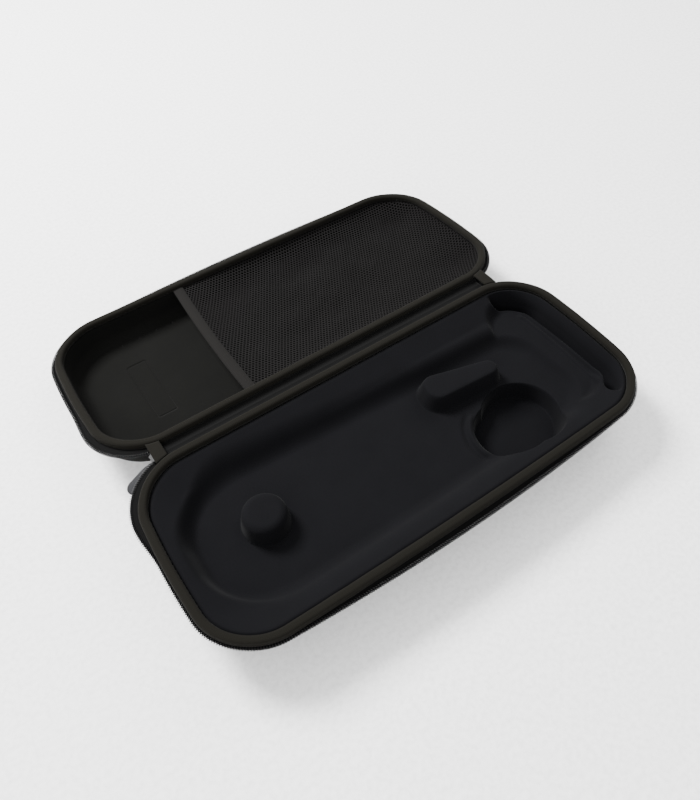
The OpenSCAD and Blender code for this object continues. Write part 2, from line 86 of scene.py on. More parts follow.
class CaseSizes(bpy.types.PropertyGroup):
    """Sizes that the frame leaves open, in millimetres"""
    corner_r: size_property("Corner radius", "Corner radius of the rim in plan", 36.0)
    cover_in: size_property("Cover inset", "Rim outline to the outer fabric", 0.85)
    wall_in: size_property("Wall inset", "Rim outline to the inner face of the wall", 4.85)
    binding_w: size_property("Binding width", "Width of the folded binding", 5.7)
    binding_h: size_property("Binding height", "Height of the binding's legs", 4.2)
    upright_h: size_property("Upright stretch", "Upright wall below the rim", 9.0)
    base_lean: size_property("Base lean", "How far the base's walls lean in", 4.0)
    lid_lean: size_property("Lid lean", "How far the lid's walls lean in", 1.0)
    base_edge_r: size_property("Base edge radius", "Radius under the base", 18.0)
    lid_edge_r: size_property("Lid edge radius", "Radius over the lid", 12.0)
    end_bow: size_property("End bow", "How far the ends bow out between the corners", 4.6)
    side_bow: size_property("Side bow", "How far the front bows out between the corners", 3.0)
    lid_side_bow: size_property("Lid front bow", "The same for the lid's front", 1.4)
    lid_coil_more: size_property("Lid coil reach", "What the lid's coil stands out more", 1.6)
    coil_out: size_property("Coil reach", "Binding to the coil's outer edge", 2.1)
    flare: size_property("Tape flare", "Extra width of the tape at mid front", 3.1)
    zip_end: size_property("Zip end", "Half of the stretch behind with no zip", 134.0)
    coil_pitch: size_property("Coil pitch", "Distance between turns of the coil", 1.5)
    coil_w: size_property("Coil width", "Width of one coil row", 2.6)
    stitch_pitch: size_property("Stitch pitch", "Length of a stitch and its gap", 3.4)
    stitch_d: size_property("Thread thickness", "Thickness of the sewing thread", 0.42)
    hole_pitch: size_property("Net hole pitch", "Distance between holes of the net", 2.5)
    hole_share: size_property("Net hole share", "Hole size as a share of its cell", 0.66)
    net_sag: size_property("Net sag", "Sag of the net at its middle", 9.0)


def hex_colour(text):
    """Linear colour of an sRGB hex value."""
    channel = [int(text[i:i + 2], 16) / 255 for i in (1, 3, 5)]
    return tuple(c / 12.92 if c <= 0.04045 else ((c + 0.055) / 1.055) ** 2.4 for c in channel)


def colour_property(label, use, text):
    return FloatVectorProperty(name=label, description=use, subtype="COLOR", size=3,
                               min=0, max=1, default=hex_colour(text))


class CaseFinishes(bpy.types.PropertyGroup):
    """Colours of the case, as the photograph shows them"""
    cover: colour_property("Cover", "Woven outer fabric", "#141413")
    binding: colour_property("Binding", "Knitted binding tape", "#12110e")
    jersey: colour_property("Tray", "Jersey over the moulded tray", "#0a0a0c")
    lining: colour_property("Lining", "Brushed lining of the lid", "#0d0d0c")
    net: colour_property("Net", "Thread of the net", "#100f0f")
    elastic: colour_property("Elastic", "Elastic band", "#131211")
    tape: colour_property("Zip tape", "Woven zip tape", "#070707")
    coil: colour_property("Coil", "Nylon coil", "#111112")
    hinge: colour_property("Hinge", "Hinge fabric", "#0b0b0b")
    metal: colour_property("Slider", "Painted slider", "#0b0b0c")
    rubber: colour_property("Pull tab", "Rubber pull tab", "#18181b")
    thread: colour_property("Thread", "Sewing thread", "#11100e")
    floor: colour_property("Floor", "Floor of the studio", "#fbfbfb")


def sizes():
    return bpy.context.scene.case_sizes


def finishes():
    return bpy.context.scene.case_finishes


# Places

HALVES = ((False, "base"), (True, "lid"))


def half_place(lid):
    """Matrix from a half's own millimetres, z up from its rim, to the frame's metres."""
    if not lid:
        return Matrix.Scale(MM, 4) @ Matrix.Translation((0, 0, BASE_H))
    turn = Matrix.Translation((0, HINGE_Y, HINGE_Z)) @ Matrix.Rotation(-LEAN, 4, "X")
    shift = Matrix.Translation((0, HINGE_Y, -RIM_GAP / 2)) @ Matrix.Scale(-1, 4, (0, 1, 0))
    return Matrix.Scale(MM, 4) @ turn @ shift


def bow(points, lid):
    """Points of a half with the soft bow of its ends and its front, which the straight frame leaves out."""
    s = sizes()
    front = s.lid_side_bow if lid else s.side_bow
    out = np.array(points, float)
    x, y = out[:, 0].copy(), out[:, 1].copy()
    out[:, 0] -= s.end_bow * x / HALF_L * np.clip(np.abs(y) / HALF_W, 0, 1.1) ** 2
    out[:, 1] -= front * np.minimum(y, 0) / HALF_W * (x / HALF_L) ** 2
    return out


def half_piece(name, verts, faces, lid, uv=None):
    """Mesh object of one half, bowed and put in its place."""
    return new_piece(name, bow(verts, lid), faces, half_place(lid), uv)


def new_piece(name, verts, faces, place, uv=None, smooth=True):
    """Mesh object at the origin whose vertices are given in a half's own millimetres."""
    mesh = bpy.data.meshes.new(name)
    mesh.from_pydata([tuple(v) for v in verts], [], [tuple(f) for f in faces])
    if uv is not None:
        layer = mesh.uv_layers.new(name="UVMap")
        corner = np.empty(len(mesh.loops), int)
        mesh.loops.foreach_get("vertex_index", corner)
        layer.data.foreach_set("uv", np.asarray(uv, float)[corner].ravel() * MM)
    mesh.transform(place)
    if place.determinant() < 0:
        mesh.flip_normals()
    mesh.polygons.foreach_set("use_smooth", [smooth] * len(mesh.polygons))
    mesh.update()
    return new_object(name, mesh)


def new_object(name, data):
    """Object of some data at the origin, linked to the scene."""
    made = bpy.data.objects.new(name, data)
    bpy.context.scene.collection.objects.link(made)
    return made


def thicken(piece, thickness, offset=0):
    """Gives a surface its thickness in millimetres, with the surface in the middle where offset is nought."""
    wall = piece.modifiers.new("thickness", "SOLIDIFY")
    wall.thickness = thickness * MM
    wall.offset = offset


def dress(piece, material, body=None, replaces=()):
    """Gives a finished piece its material, its body and the nodes it stands for."""
    piece.data.materials.clear()
    piece.data.materials.append(material)
    if body:
        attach(piece, body)
    if replaces:
        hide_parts(*replaces)
    return piece


# Outline

def rim_stations(step):
    """Stations round the rim: (centre, outward normal, length so far) for each.

    A point at u outside the rim outline is centre + normal * (corner radius + u).
    """
    r = sizes().corner_r
    cx, cy = HALF_L - r, HALF_W - r
    pieces = []
    for k, (sx, sy) in enumerate([(1, 1), (-1, 1), (-1, -1), (1, -1)]):
        pieces.append(("arc", (sx * cx, sy * cy), 90.0 * k))
        pieces.append(("line", (sx * cx, sy * cy), 90.0 * (k + 1)))
    out, length = [], 0.0
    for kind, (x, y), angle in pieces:
        if kind == "arc":
            run = math.radians(90) * r
            count = max(int(round(run / step)), 4)
            for i in range(count):
                w = math.radians(angle + 90 * i / count)
                out.append(((x, y), (math.cos(w), math.sin(w)), length + run * i / count))
        else:
            w = math.radians(angle)
            normal = (math.cos(w), math.sin(w))
            run = 2 * (cy if abs(normal[0]) > 0.5 else cx)
            ahead = (-normal[1], normal[0])
            count = max(int(round(run / step)), 2)
            for i in range(count):
                along = run * i / count
                out.append(((x + ahead[0] * along, y + ahead[1] * along), normal, length + along))
        length += run
    centre = np.array([o[0] for o in out])
    normal = np.array([o[1] for o in out])
    return centre, normal, np.array([o[2] for o in out]), length


def grid_faces(rows, count, closed_rows=False, closed_count=False, turned=False):
    """Quads over a grid of vertices that was filled row by row, wound the other way where turned is set."""
    faces = []
    for i in range(rows if closed_rows else rows - 1):
        j = (i + 1) % rows
        for k in range(count if closed_count else count - 1):
            m = (k + 1) % count
            a, b, c, d = i * count + k, j * count + k, j * count + m, i * count + m
            faces.append((a, d, c, b) if turned else (a, b, c, d))
    return faces


def sweep(stations, section, closed_section=True, wobble=0.0, wavelength=40.0):
    """Section points (u, z) swept round the closed rim, with UV in millimetres."""
    centre, normal, along, _ = stations
    section = np.asarray(section, float)
    count, rows = len(section), len(along)
    r = sizes().corner_r
    verts = np.zeros((rows, count, 3))
    verts[:, :, :2] = centre[:, None, :] + normal[:, None, :] * (r + section[None, :, 0, None])
    verts[:, :, 2] = section[None, :, 1]
    if wobble:
        for i in range(rows):
            spot = Vector((verts[i, 0, 0] / wavelength, verts[i, 0, 1] / wavelength, 3.7))
            verts[i, :, 2] += wobble * noise.noise(spot)
            verts[i, :, :2] += normal[i] * wobble * noise.noise(spot + Vector((9, 5, 1)))
    step = np.hypot(*np.diff(np.vstack([section, section[:1]]), axis=0).T)
    across = np.concatenate([[0], np.cumsum(step)[:count - 1]])
    uv = np.zeros((rows, count, 2))
    uv[:, :, 0] = along[:, None]
    uv[:, :, 1] = across[None, :]
    faces = grid_faces(rows, count, closed_rows=True, closed_count=closed_section)
    return verts.reshape(-1, 3), faces, uv.reshape(-1, 2)


def arc_points(centre, radius, start, end, count):
    """Points of an arc in u and z, angles in degrees."""
    return [(centre[0] + radius * math.cos(math.radians(w)), centre[1] + radius * math.sin(math.radians(w)))
            for w in np.linspace(start, end, count + 1)]


def zip_run(step, reach, lid):
    """Bowed points round three sides, from the rear left to the rear right.

    A reach above nought is measured inwards from the rim's outline, and one below it inwards from the coil's
    outer edge. At the slider's corner the coil keeps to the circle that the slider travels on.
    """
    s = sizes()
    centre, normal, _, _ = rim_stations(step)
    cx = HALF_L - s.corner_r
    first = int(np.argmax(normal[:, 0] < -1e-6))
    centre, normal = np.roll(centre, -first, axis=0), np.roll(normal, -first, axis=0)
    angle = np.degrees(np.arctan2(normal[:, 1], np.abs(normal[:, 0])))
    turn = math.degrees(math.acos((s.zip_end - cx) / (s.corner_r + TAPE_OUT)))
    keep = angle < turn + 0.01
    centre, normal = centre[keep], normal[keep]
    if reach > 0:
        return bow(centre + normal * (s.corner_r - reach), lid)
    front = np.where(normal[:, 1] < -0.999, 1 - (centre[:, 0] / cx) ** 2, 0)
    out = s.coil_out + (s.lid_coil_more if lid else 0) + s.flare * np.clip(front, 0, 1)
    soft = bow(centre + normal * (s.corner_r + out + reach)[:, None], lid)
    true = centre + normal * (s.corner_r + TAPE_OUT + reach)
    share = near_slider(soft)[:, None]
    return soft * (1 - share) + true * share


SLIDER_FADE_FROM = 6.0
SLIDER_FADE_SHORT = 8.0


def near_slider(points):
    """One at the corner where the slider runs, falling to nought along the left end."""
    run = HALF_W - sizes().corner_r - SLIDER_FADE_SHORT
    ramp = np.clip((points[:, 1] - SLIDER_FADE_FROM) / run, 0, 1) * (points[:, 0] < 0)
    return ramp * ramp * (3 - 2 * ramp)


def rim_distance(x, y):
    """Distance inwards from the rim outline."""
    r = sizes().corner_r
    qx, qy = abs(x) - (HALF_L - r), abs(y) - (HALF_W - r)
    return r - math.hypot(max(qx, 0), max(qy, 0)) - min(max(qx, qy), 0)


# Materials. But for the floor's they are matt and nearly black, told apart by relief more than by colour

def add(tree, kind, inputs=None, **settings):
    """Adds a node, sets it, and sets or links its inputs."""
    node = tree.nodes.new(kind)
    for key, value in settings.items():
        setattr(node, key, value)
    for key, value in (inputs or {}).items():
        if isinstance(value, bpy.types.NodeSocket):
            tree.links.new(value, node.inputs[key])
        else:
            node.inputs[key].default_value = value
    return node


def bands(period):
    """Wave Texture scale for a period in millimetres."""
    return math.tau / 20 / (period * MM)


def cells(size):
    """Noise or Voronoi scale for a feature size in millimetres."""
    return 1 / (size * MM)


def material(name, colour, roughness, **shader):
    """A new material: its tree, its Principled shader and its two coordinate outputs."""
    mat = bpy.data.materials.new(name)
    mat.use_nodes = True
    tree = mat.node_tree
    principled = tree.nodes["Principled BSDF"]
    principled.inputs["Base Color"].default_value = (*colour, 1)
    principled.inputs["Roughness"].default_value = roughness
    for key, value in shader.items():
        principled.inputs[key.replace("_", " ")].default_value = value
    where = tree.nodes.new("ShaderNodeTexCoord")
    return mat, tree, principled, where.outputs["Object"], where.outputs["UV"]


def shade(tree, principled, colour, factor, low, high):
    """Base colour between two shares of the colour, by a factor."""
    mixed = add(tree, "ShaderNodeMix", {0: factor, 6: (*[c * low for c in colour], 1),
                                        7: (*[c * high for c in colour], 1)}, data_type="RGBA")
    tree.links.new(mixed.outputs[2], principled.inputs["Base Color"])


def relief(tree, principled, height, strength, distance):
    """Bump from a height, distance in millimetres."""
    bump = add(tree, "ShaderNodeBump", {"Strength": strength, "Distance": distance * MM, "Height": height})
    tree.links.new(bump.outputs["Normal"], principled.inputs["Normal"])


def woven_fabric(name, colour, thread):
    """Woven polyester, two crossed waves: a coarse matt cloth whose raised threads catch the light. Its
    colour carries a painted highlight, lighter on the raised threads, and also varies in random patches of
    tone.

    The real thread is about 0.3 mm and would not show, so it is drawn coarser.
    """
    mat, tree, principled, where, _ = material(name, colour, 0.9, Sheen_Weight=0.01, Sheen_Roughness=0.5,
                                               Specular_IOR_Level=0.08)
    warp = add(tree, "ShaderNodeTexWave", {"Vector": where, "Scale": bands(thread), "Distortion": 0.6,
                                           "Detail": 1.0}, bands_direction="X")
    weft = add(tree, "ShaderNodeTexWave", {"Vector": where, "Scale": bands(thread), "Distortion": 0.6,
                                           "Detail": 1.0}, bands_direction="Y")
    both = add(tree, "ShaderNodeMath", {0: warp.outputs["Fac"], 1: weft.outputs["Fac"]}, operation="MULTIPLY")
    patch = add(tree, "ShaderNodeTexNoise", {"Vector": where, "Scale": cells(18.0), "Detail": 3.0})
    mixed = add(tree, "ShaderNodeMath", {0: both.outputs[0], 1: patch.outputs["Fac"]}, operation="MULTIPLY")
    # Painted highlight: the colour is lighter where warp and weft rise, multiplied by random patches of tone
    shade(tree, principled, colour, mixed.outputs[0], 0.5, 2.2)
    relief(tree, principled, both.outputs[0], 0.8, 0.2)
    return mat


def ribbed_fabric(name, colour, rib, across, roughness=0.92):
    """Knitted or woven tape on its own UV: fine ribs both ways under a fuzz, dull and even in tone."""
    mat, tree, principled, _, uv = material(name, colour, roughness, Sheen_Weight=0.015, Sheen_Roughness=0.45,
                                            Specular_IOR_Level=0.06)
    ribs = add(tree, "ShaderNodeTexWave", {"Vector": uv, "Scale": bands(rib), "Distortion": 0.5,
                                           "Detail": 1.0}, bands_direction="X")
    lines = add(tree, "ShaderNodeTexWave", {"Vector": uv, "Scale": bands(across), "Distortion": 0.4},
                bands_direction="Y")
    both = add(tree, "ShaderNodeMath", {0: ribs.outputs["Fac"], 1: lines.outputs["Fac"]},
               operation="MULTIPLY")
    fuzz = add(tree, "ShaderNodeTexNoise", {"Vector": uv, "Scale": cells(0.5), "Detail": 4.0})
    sum_up = add(tree, "ShaderNodeMath", {0: both.outputs[0], 1: fuzz.outputs["Fac"]}, operation="ADD")
    half = add(tree, "ShaderNodeMath", {0: sum_up.outputs[0], 1: 0.5}, operation="MULTIPLY")
    shade(tree, principled, colour, half.outputs[0], 0.65, 1.45)
    relief(tree, principled, sum_up.outputs[0], 0.6, 0.12)
    return mat


def brushed_fabric(name, colour, grain, roughness=0.95, sheen=0.015):
    """Jersey or brushed lining: a fine random nap that takes all gloss away, with broad, faint patches."""
    mat, tree, principled, where, _ = material(name, colour, roughness, Sheen_Weight=sheen,
                                               Sheen_Roughness=0.4, Specular_IOR_Level=0.05)
    nap = add(tree, "ShaderNodeTexNoise", {"Vector": where, "Scale": cells(grain), "Detail": 5.0,
                                           "Roughness": 0.65})
    patch = add(tree, "ShaderNodeTexNoise", {"Vector": where, "Scale": cells(22.0), "Detail": 2.0})
    mixed = add(tree, "ShaderNodeMix", {0: 0.35, 2: nap.outputs["Fac"], 3: patch.outputs["Fac"]})
    shade(tree, principled, colour, mixed.outputs[0], 0.55, 1.5)
    relief(tree, principled, nap.outputs["Fac"], 0.45, 0.06)
    return mat


def moulded_plastic(name, colour, roughness, grain, depth, gloss=0.3):
    """Moulded rubber, nylon, foam or paint: an even tone with a faint random grain and a soft gloss."""
    mat, tree, principled, where, _ = material(name, colour, roughness, Specular_IOR_Level=gloss)
    fine = add(tree, "ShaderNodeTexNoise", {"Vector": where, "Scale": cells(grain), "Detail": 4.0})
    shade(tree, principled, colour, fine.outputs["Fac"], 0.8, 1.2)
    relief(tree, principled, fine.outputs["Fac"], 0.3, depth)
    return mat


# Height fields

def smin(a, b, k):
    """The lower of two heights, rounded over k."""
    h = np.clip(0.5 + 0.5 * (b - a) / k, 0, 1)
    return b + (a - b) * h - k * h * (1 - h)


def smax(a, b, k):
    """The higher of two heights, rounded over k."""
    return -smin(-a, -b, k)


def circle_hull(circles, outset, spacing):
    """Evenly spaced points round the hull of circles (x, y, radius), moved outwards."""
    cloud = []
    for x, y, r in circles:
        for w in np.linspace(0, math.tau, 240, endpoint=False):
            cloud.append((x + (r + outset) * math.cos(w), y + (r + outset) * math.sin(w)))
    order = geometry.convex_hull_2d(cloud)
    loop = np.array([cloud[i] for i in order])
    step = np.hypot(*(np.roll(loop, -1, axis=0) - loop).T)
    length = np.concatenate([[0], np.cumsum(step)])
    count = max(int(length[-1] / spacing), 12)
    closed = np.vstack([loop, loop[:1]])
    marks = np.linspace(0, length[-1], count, endpoint=False)
    return np.stack([np.interp(marks, length, closed[:, k]) for k in (0, 1)], axis=1)


def hull_distance(circles, x, y):
    """Signed distance to the hull of circles: negative inside."""
    loop = circle_hull(circles, 0.0, 1.5)
    points = np.stack([x, y], axis=1)
    best = np.full(len(points), FAR)
    inside = np.ones(len(points), bool)
    for a, b in zip(loop, np.roll(loop, -1, axis=0)):
        edge = b - a
        t = np.clip(((points - a) @ edge) / (edge @ edge), 0, 1)
        gap = points - a - t[:, None] * edge
        best = np.minimum(best, np.hypot(gap[:, 0], gap[:, 1]))
        inside &= (edge[0] * (points[:, 1] - a[1]) - edge[1] * (points[:, 0] - a[0])) > 0
    return np.where(inside, -best, best)


SAME_SPOT = 0.3
EDGE_CLEAR = 0.45
ROW_SHARE = 0.87


def skin(boundary, extra, spacing, clear):
    """Triangles over the inside of a closed loop: feature points, then a grid that keeps clear of them."""
    loop = [Vector(p) for p in boundary]
    kept = list(loop)
    low, high = np.min(boundary, axis=0), np.max(boundary, axis=0)
    edge = kdtree.KDTree(len(loop))
    for i, p in enumerate(loop):
        edge.insert((p[0], p[1], 0), i)
    edge.balance()
    seen = set()
    for p in extra:
        key = (round(p[0] / SAME_SPOT), round(p[1] / SAME_SPOT))
        if key in seen or edge.find((p[0], p[1], 0))[2] < EDGE_CLEAR:
            continue
        seen.add(key)
        kept.append(Vector((p[0], p[1])))
    tree = kdtree.KDTree(len(kept))
    for i, p in enumerate(kept):
        tree.insert((p[0], p[1], 0), i)
    tree.balance()
    row = 0
    y = low[1]
    while y < high[1]:
        x = low[0] + (spacing / 2 if row % 2 else 0)
        while x < high[0]:
            if tree.find((x, y, 0))[2] > clear:
                kept.append(Vector((x, y)))
            x += spacing
        y += spacing * ROW_SHARE
        row += 1
    edges = [(i, (i + 1) % len(loop)) for i in range(len(loop))]
    found = geometry.delaunay_2d_cdt(kept, edges, [], 1, 1e-5)
    return np.array([tuple(v) for v in found[0]]), [tuple(f) for f in found[2]]


def upwards(points, faces):
    """The faces, each turned to run anticlockwise seen from above."""
    out = []
    for f in faces:
        a, b, c = points[f[0]], points[f[1]], points[f[2]]
        turn = (b[0] - a[0]) * (c[1] - a[1]) - (b[1] - a[1]) * (c[0] - a[0])
        out.append(f if turn > 0 else tuple(reversed(f)))
    return out


# Tray

TRAY = {
    "roll_drop": 3.6, "roll_r": 3.0, "gap": 0.3, "shoulder_fall": 5.2, "shoulder_w": 16.0,
    "floor": -19.0, "lean": 34.0, "lean_share": 0.8, "left_more": 0.6, "left_x": -112.0, "left_fade": 30.0,
    "step_floor": -14.0, "step_steep": 1.6,
    "channel_lip": -15.5, "channel_floor": -27.0, "channel_steep": 3.0, "channel_in": 9.2, "channel_w": 8.0,
    "channel_rear": 72.0, "channel_front": 40.0,
    "pocket_floor": -33.0, "pocket_steep": 7.0,
}

# Circles (x, y, radius) whose hull is the outline of each hollow
WELL = [(-101.5, 7, 43), (-101.5, -7, 43), (100, 9, 29), (104, -22, 27)]
END_STEP = [(126, 33, 19), (122, -25, 20), (104, -12, 20)]
POCKET = [(80.0, -26.0, 27.0), (66.0, -29.0, 23.0)]

POST = {"at": (-97.0, 3.0), "top_r": 13.8, "foot_r": 15.2, "h": 15.5, "round": 5.0, "crown": 0.5}
ISLAND = {"at": (35.0, 20.0), "l": 53.0, "w": 20.0, "tip": 12.0, "turn": -10.0, "h": 12.5, "r": 5.9,
          "heel_r": 8.5, "spread": 3.6, "crown": 0.35, "crown_w": 8.0}

# Folds of the jersey: two that follow the right end, and one beside the pocket's bay with a dip behind it
END_FOLDS = {"insets": (19.6, 23.0), "r": 1.3, "rear": 34.0, "front": -40.0, "fade": 16.0}
BAY_FOLD = {"from": 118.0, "to": 205.0, "fade": 12.0, "out": 2.6, "r": 1.5,
            "dip_out": 6.0, "dip_r": 1.8, "dip_share": 0.6}
FAR = 1e9


def island_circles():
    """Corner circles of the island's top."""
    i = ISLAND
    turn = math.radians(i["turn"])
    out = []
    for along, width, r in ((i["heel_r"], i["w"], i["heel_r"]), (i["l"] - i["r"], i["tip"], i["r"])):
        for side in (-1, 1):
            across = side * (width / 2 - r)
            out.append((i["at"][0] + along * math.cos(turn) - across * math.sin(turn),
                        i["at"][1] + along * math.sin(turn) + across * math.cos(turn), r))
    return out


def channel_line(x, y):
    """Distance from the middle line of the end channel."""
    s, t = sizes(), TRAY
    cx, cy = HALF_L - s.corner_r, HALF_W - s.corner_r
    mid = s.corner_r - t["channel_in"] - t["channel_w"] / 2
    rear, front = math.radians(t["channel_rear"]), -math.radians(t["channel_front"])
    side = np.where(np.abs(y) < cy, np.abs(x - cx - mid), FAR)
    dy = y - np.sign(y) * cy
    angle = np.arctan2(dy, x - cx)
    bent = (np.abs(y) >= cy) & (angle < rear) & (angle > front)
    ring = np.where(bent, np.abs(np.hypot(x - cx, dy) - mid), FAR)
    tips = [np.hypot(x - cx - mid * math.cos(w), y - sign * cy - mid * math.sin(w))
            for w, sign in ((rear, 1), (front, -1))]
    return np.minimum(np.minimum(side, ring), np.minimum(*tips))


def fold_line(x, y, inset):
    """Distance from a fold line that follows the right end, and how high the fold still stands there."""
    s = sizes()
    cx, cy = HALF_L - s.corner_r, HALF_W - s.corner_r
    mid = s.corner_r - inset
    dy = np.where(np.abs(y) < cy, 0.0, y - np.sign(y) * cy)
    angle = np.degrees(np.arctan2(dy, x - cx))
    gap = np.abs(np.hypot(x - cx, dy) - mid)
    f = END_FOLDS
    fade = np.clip((f["rear"] - angle) / f["fade"], 0, 1) * np.clip((angle - f["front"]) / f["fade"], 0, 1)
    return np.where(x > cx, gap, FAR), fade


def ridge(gap, radius):
    """Height of a rounded ridge at a distance from its line."""
    return radius * np.clip(1 - (gap / (1.5 * radius)) ** 2, 0, 1) ** 1.5


def roll_inset():
    """Rim outline to the line where the tray's skin turns down into its rolled edge."""
    return sizes().wall_in + TRAY["gap"] + TRAY["roll_r"]


def hollow(z, side, floor, foot_r, edge_r):
    """Cuts a hollow into a height, with a flat floor, rounded at its foot and at its edge."""
    return smin(z, smax(side, np.full_like(z, floor), foot_r), edge_r)


def bay_fold(x, y):
    """Height of the fold beside the pocket's bay, less the dip behind it."""
    f = BAY_FOLD
    across, along, radius = POCKET[1]
    bearing = np.degrees(np.arctan2(y - along, x - across)) % 360
    fade = np.clip(np.minimum(bearing - f["from"], f["to"] - bearing) / f["fade"], 0, 1)
    out = np.hypot(x - across, y - along) - radius
    dip = ridge(np.abs(out - f["dip_out"]), f["dip_r"])
    return ridge(np.abs(out - f["out"]), f["r"]) * fade - f["dip_share"] * dip * fade


def post_height(x, y):
    """Height of the round post: leaning sides, a rounded edge and a faintly domed top."""
    p, floor = POST, TRAY["floor"]
    reach = np.hypot(x - p["at"][0], y - p["at"][1])
    side = floor + (p["foot_r"] - reach) * (p["h"] - p["round"]) / (p["foot_r"] - p["top_r"])
    over = np.clip(reach - p["top_r"] + p["round"], 0, p["round"])
    edge = np.sqrt(p["round"] ** 2 - over ** 2)
    dome = floor + p["h"] - p["round"] + edge - p["crown"] * (reach / p["top_r"]) ** 2
    return np.minimum(side, dome)


def island_height(x, y):
    """Height of the tapered island, which spreads towards its foot."""
    i, floor = ISLAND, TRAY["floor"]
    out = hull_distance(island_circles(), x, y)
    flank = floor + (i["spread"] - out) * i["h"] / i["spread"]
    crown = floor + i["h"] - i["crown"] * np.clip(out / i["crown_w"] + 1, 0, 1) ** 2
    return smin(flank, crown, 5.0)


def tray_height(points):
    """Height of the tray's skin, in millimetres above the rim plane."""
    t = TRAY
    x, y = points[:, 0], points[:, 1]
    inwards = np.array([rim_distance(a, b) for a, b in points])
    slope = t["shoulder_fall"] / t["shoulder_w"]
    lip = -t["roll_drop"] - t["shoulder_fall"]
    z = np.maximum(-t["roll_drop"] - np.clip(inwards - roll_inset(), 0, None) * slope, lip)

    left = np.clip((t["left_x"] - x) / t["left_fade"], 0, 1)
    steep = (t["lean_share"] + t["left_more"] * left) / math.tan(math.radians(t["lean"]))
    z = hollow(z, lip + hull_distance(WELL, x, y) * steep, t["floor"], foot_r=5.0, edge_r=4.0)
    step = lip + hull_distance(END_STEP, x, y) * t["step_steep"]
    z = hollow(z, step, t["step_floor"], foot_r=3.0, edge_r=3.0)
    channel = t["channel_lip"] + (channel_line(x, y) - t["channel_w"] / 2) * t["channel_steep"]
    z = hollow(z, channel, t["channel_floor"], foot_r=6.0, edge_r=4.5)
    for inset in END_FOLDS["insets"]:
        gap, fade = fold_line(x, y, inset)
        z = z + ridge(gap, END_FOLDS["r"]) * fade
    pocket = np.minimum(*[np.hypot(x - a, y - b) - r for a, b, r in POCKET])
    z = hollow(z, t["floor"] + pocket * t["pocket_steep"], t["pocket_floor"], foot_r=3.0, edge_r=1.6)
    z = z + bay_fold(x, y)
    z = smax(z, post_height(x, y), 2.2)
    z = smax(z, island_height(x, y), 1.8)

    broad = np.array([noise.noise(Vector((a / 26, b / 26, 1.3))) for a, b in points])
    small = np.array([noise.noise(Vector((a / 9, b / 9, 4.1))) for a, b in points])
    return z + 0.16 * (broad + 0.4 * small)


def tray_features():
    """Points along the tray's edges, close together where its skin is steep."""
    points = []
    for circles, offsets, spacing in ((WELL, np.arange(-9.0, 3.1, 1.0), 1.6),
                                      (END_STEP, np.arange(-5.0, 1.6, 0.8), 1.2),
                                      (island_circles(), np.arange(-1.0, 4.6, 0.5), 0.9)):
        points += [circle_hull(circles, offset, spacing) for offset in offsets]
    for radius in np.concatenate([np.arange(8, 12, 0.8), np.arange(12, 16.6, 0.45)]):
        points.append(circle_hull([(*POST["at"], radius)], 0.0, 0.9))
    for circle, other in (POCKET, POCKET[::-1]):
        for offset in np.concatenate([np.arange(-3.2, 0, 0.4), np.arange(0, 3.4, 0.5)]):
            ring = circle_hull([circle], offset, 0.9)
            clear = np.hypot(ring[:, 0] - other[0], ring[:, 1] - other[1]) - other[2] > offset - 0.2
            points.append(ring[clear])
    bay = POCKET[1]
    for offset in np.arange(3.6, 8.6, 0.7):
        ring = circle_hull([bay], offset, 1.0)
        points.append(ring[ring[:, 0] < bay[0] + 4])
    corner_r = sizes().corner_r
    centre, normal, _, _ = rim_stations(0.9)
    for inset in np.concatenate([np.arange(8.4, 13.0, 0.45), np.arange(13.4, 18.6, 0.45),
                                 np.arange(18.6, 25, 0.5)]):
        ring = centre + normal * (corner_r - inset)
        points.append(ring[ring[:, 0] > HALF_L - corner_r - 6])
    rows = np.vstack(points)
    inside = np.array([rim_distance(a, b) for a, b in rows])
    return rows[inside > roll_inset() + 0.3]


class CASE_OT_tray(bpy.types.Operator):
    """Moulded tray: one closed skin of jersey over foam, with its post, island, pockets and folds"""
    bl_idname = "case.tray"
    bl_label = "Moulded tray"

    def execute(self, context):
        s, t = sizes(), TRAY
        centre, normal, _, _ = rim_stations(1.6)
        roll = roll_inset()
        ring = centre + normal * (s.corner_r - roll)
        flat, faces = skin(ring, tray_features(), 1.5, 0.85)
        height = tray_height(flat)
        count = len(ring)
        height[:count] = -t["roll_drop"]
        verts = [np.column_stack([flat, height])]
        faces = upwards(flat, faces)
        outer = -s.wall_in - t["gap"]
        foot = outer - s.base_lean
        edge_r = s.base_edge_r - s.wall_in - t["gap"] + s.cover_in
        heel = (-s.cover_in - s.base_lean - s.base_edge_r, s.base_edge_r - BASE_H)
        section = arc_points((-roll, -t["roll_drop"] - t["roll_r"]), t["roll_r"], 90, 0, 8)[1:]
        section += [(outer, -s.upright_h), (foot, heel[1])] + arc_points(heel, edge_r, 0, -90, 6)[1:]
        rows = len(section)
        wall = np.zeros((count, rows, 3))
        for k, (u, z) in enumerate(section):
            wall[:, k, :2] = centre + normal * (s.corner_r + u)
            wall[:, k, 2] = z
        start = len(flat)
        verts.append(wall.reshape(-1, 3))
        for i in range(count):
            j = (i + 1) % count
            faces.append((i, start + i * rows, start + j * rows, j))
            for k in range(rows - 1):
                faces.append((start + i * rows + k, start + i * rows + k + 1,
                              start + j * rows + k + 1, start + j * rows + k))
        faces.append(tuple(start + i * rows + rows - 1 for i in reversed(range(count))))
        piece = half_piece("tray_skin", np.vstack(verts), faces, False)
        # A stretched knit over foam: soft to the eye, with no gloss
        jersey = brushed_fabric("jersey_over_foam", tuple(finishes().jersey), 0.55, roughness=0.9, sheen=0.02)
        dress(piece, jersey, "base", ["tray"])
        return {"FINISHED"}


# Walls

# The bare frame pressed into the lid's lining: a rounded rectangle with a fine groove round a shallow field
FRAME = {"x": -109.0, "half_w": 7.0, "half_l": 29.0, "r": 1.5, "groove_w": 0.6, "groove": 0.75, "field": 0.22}


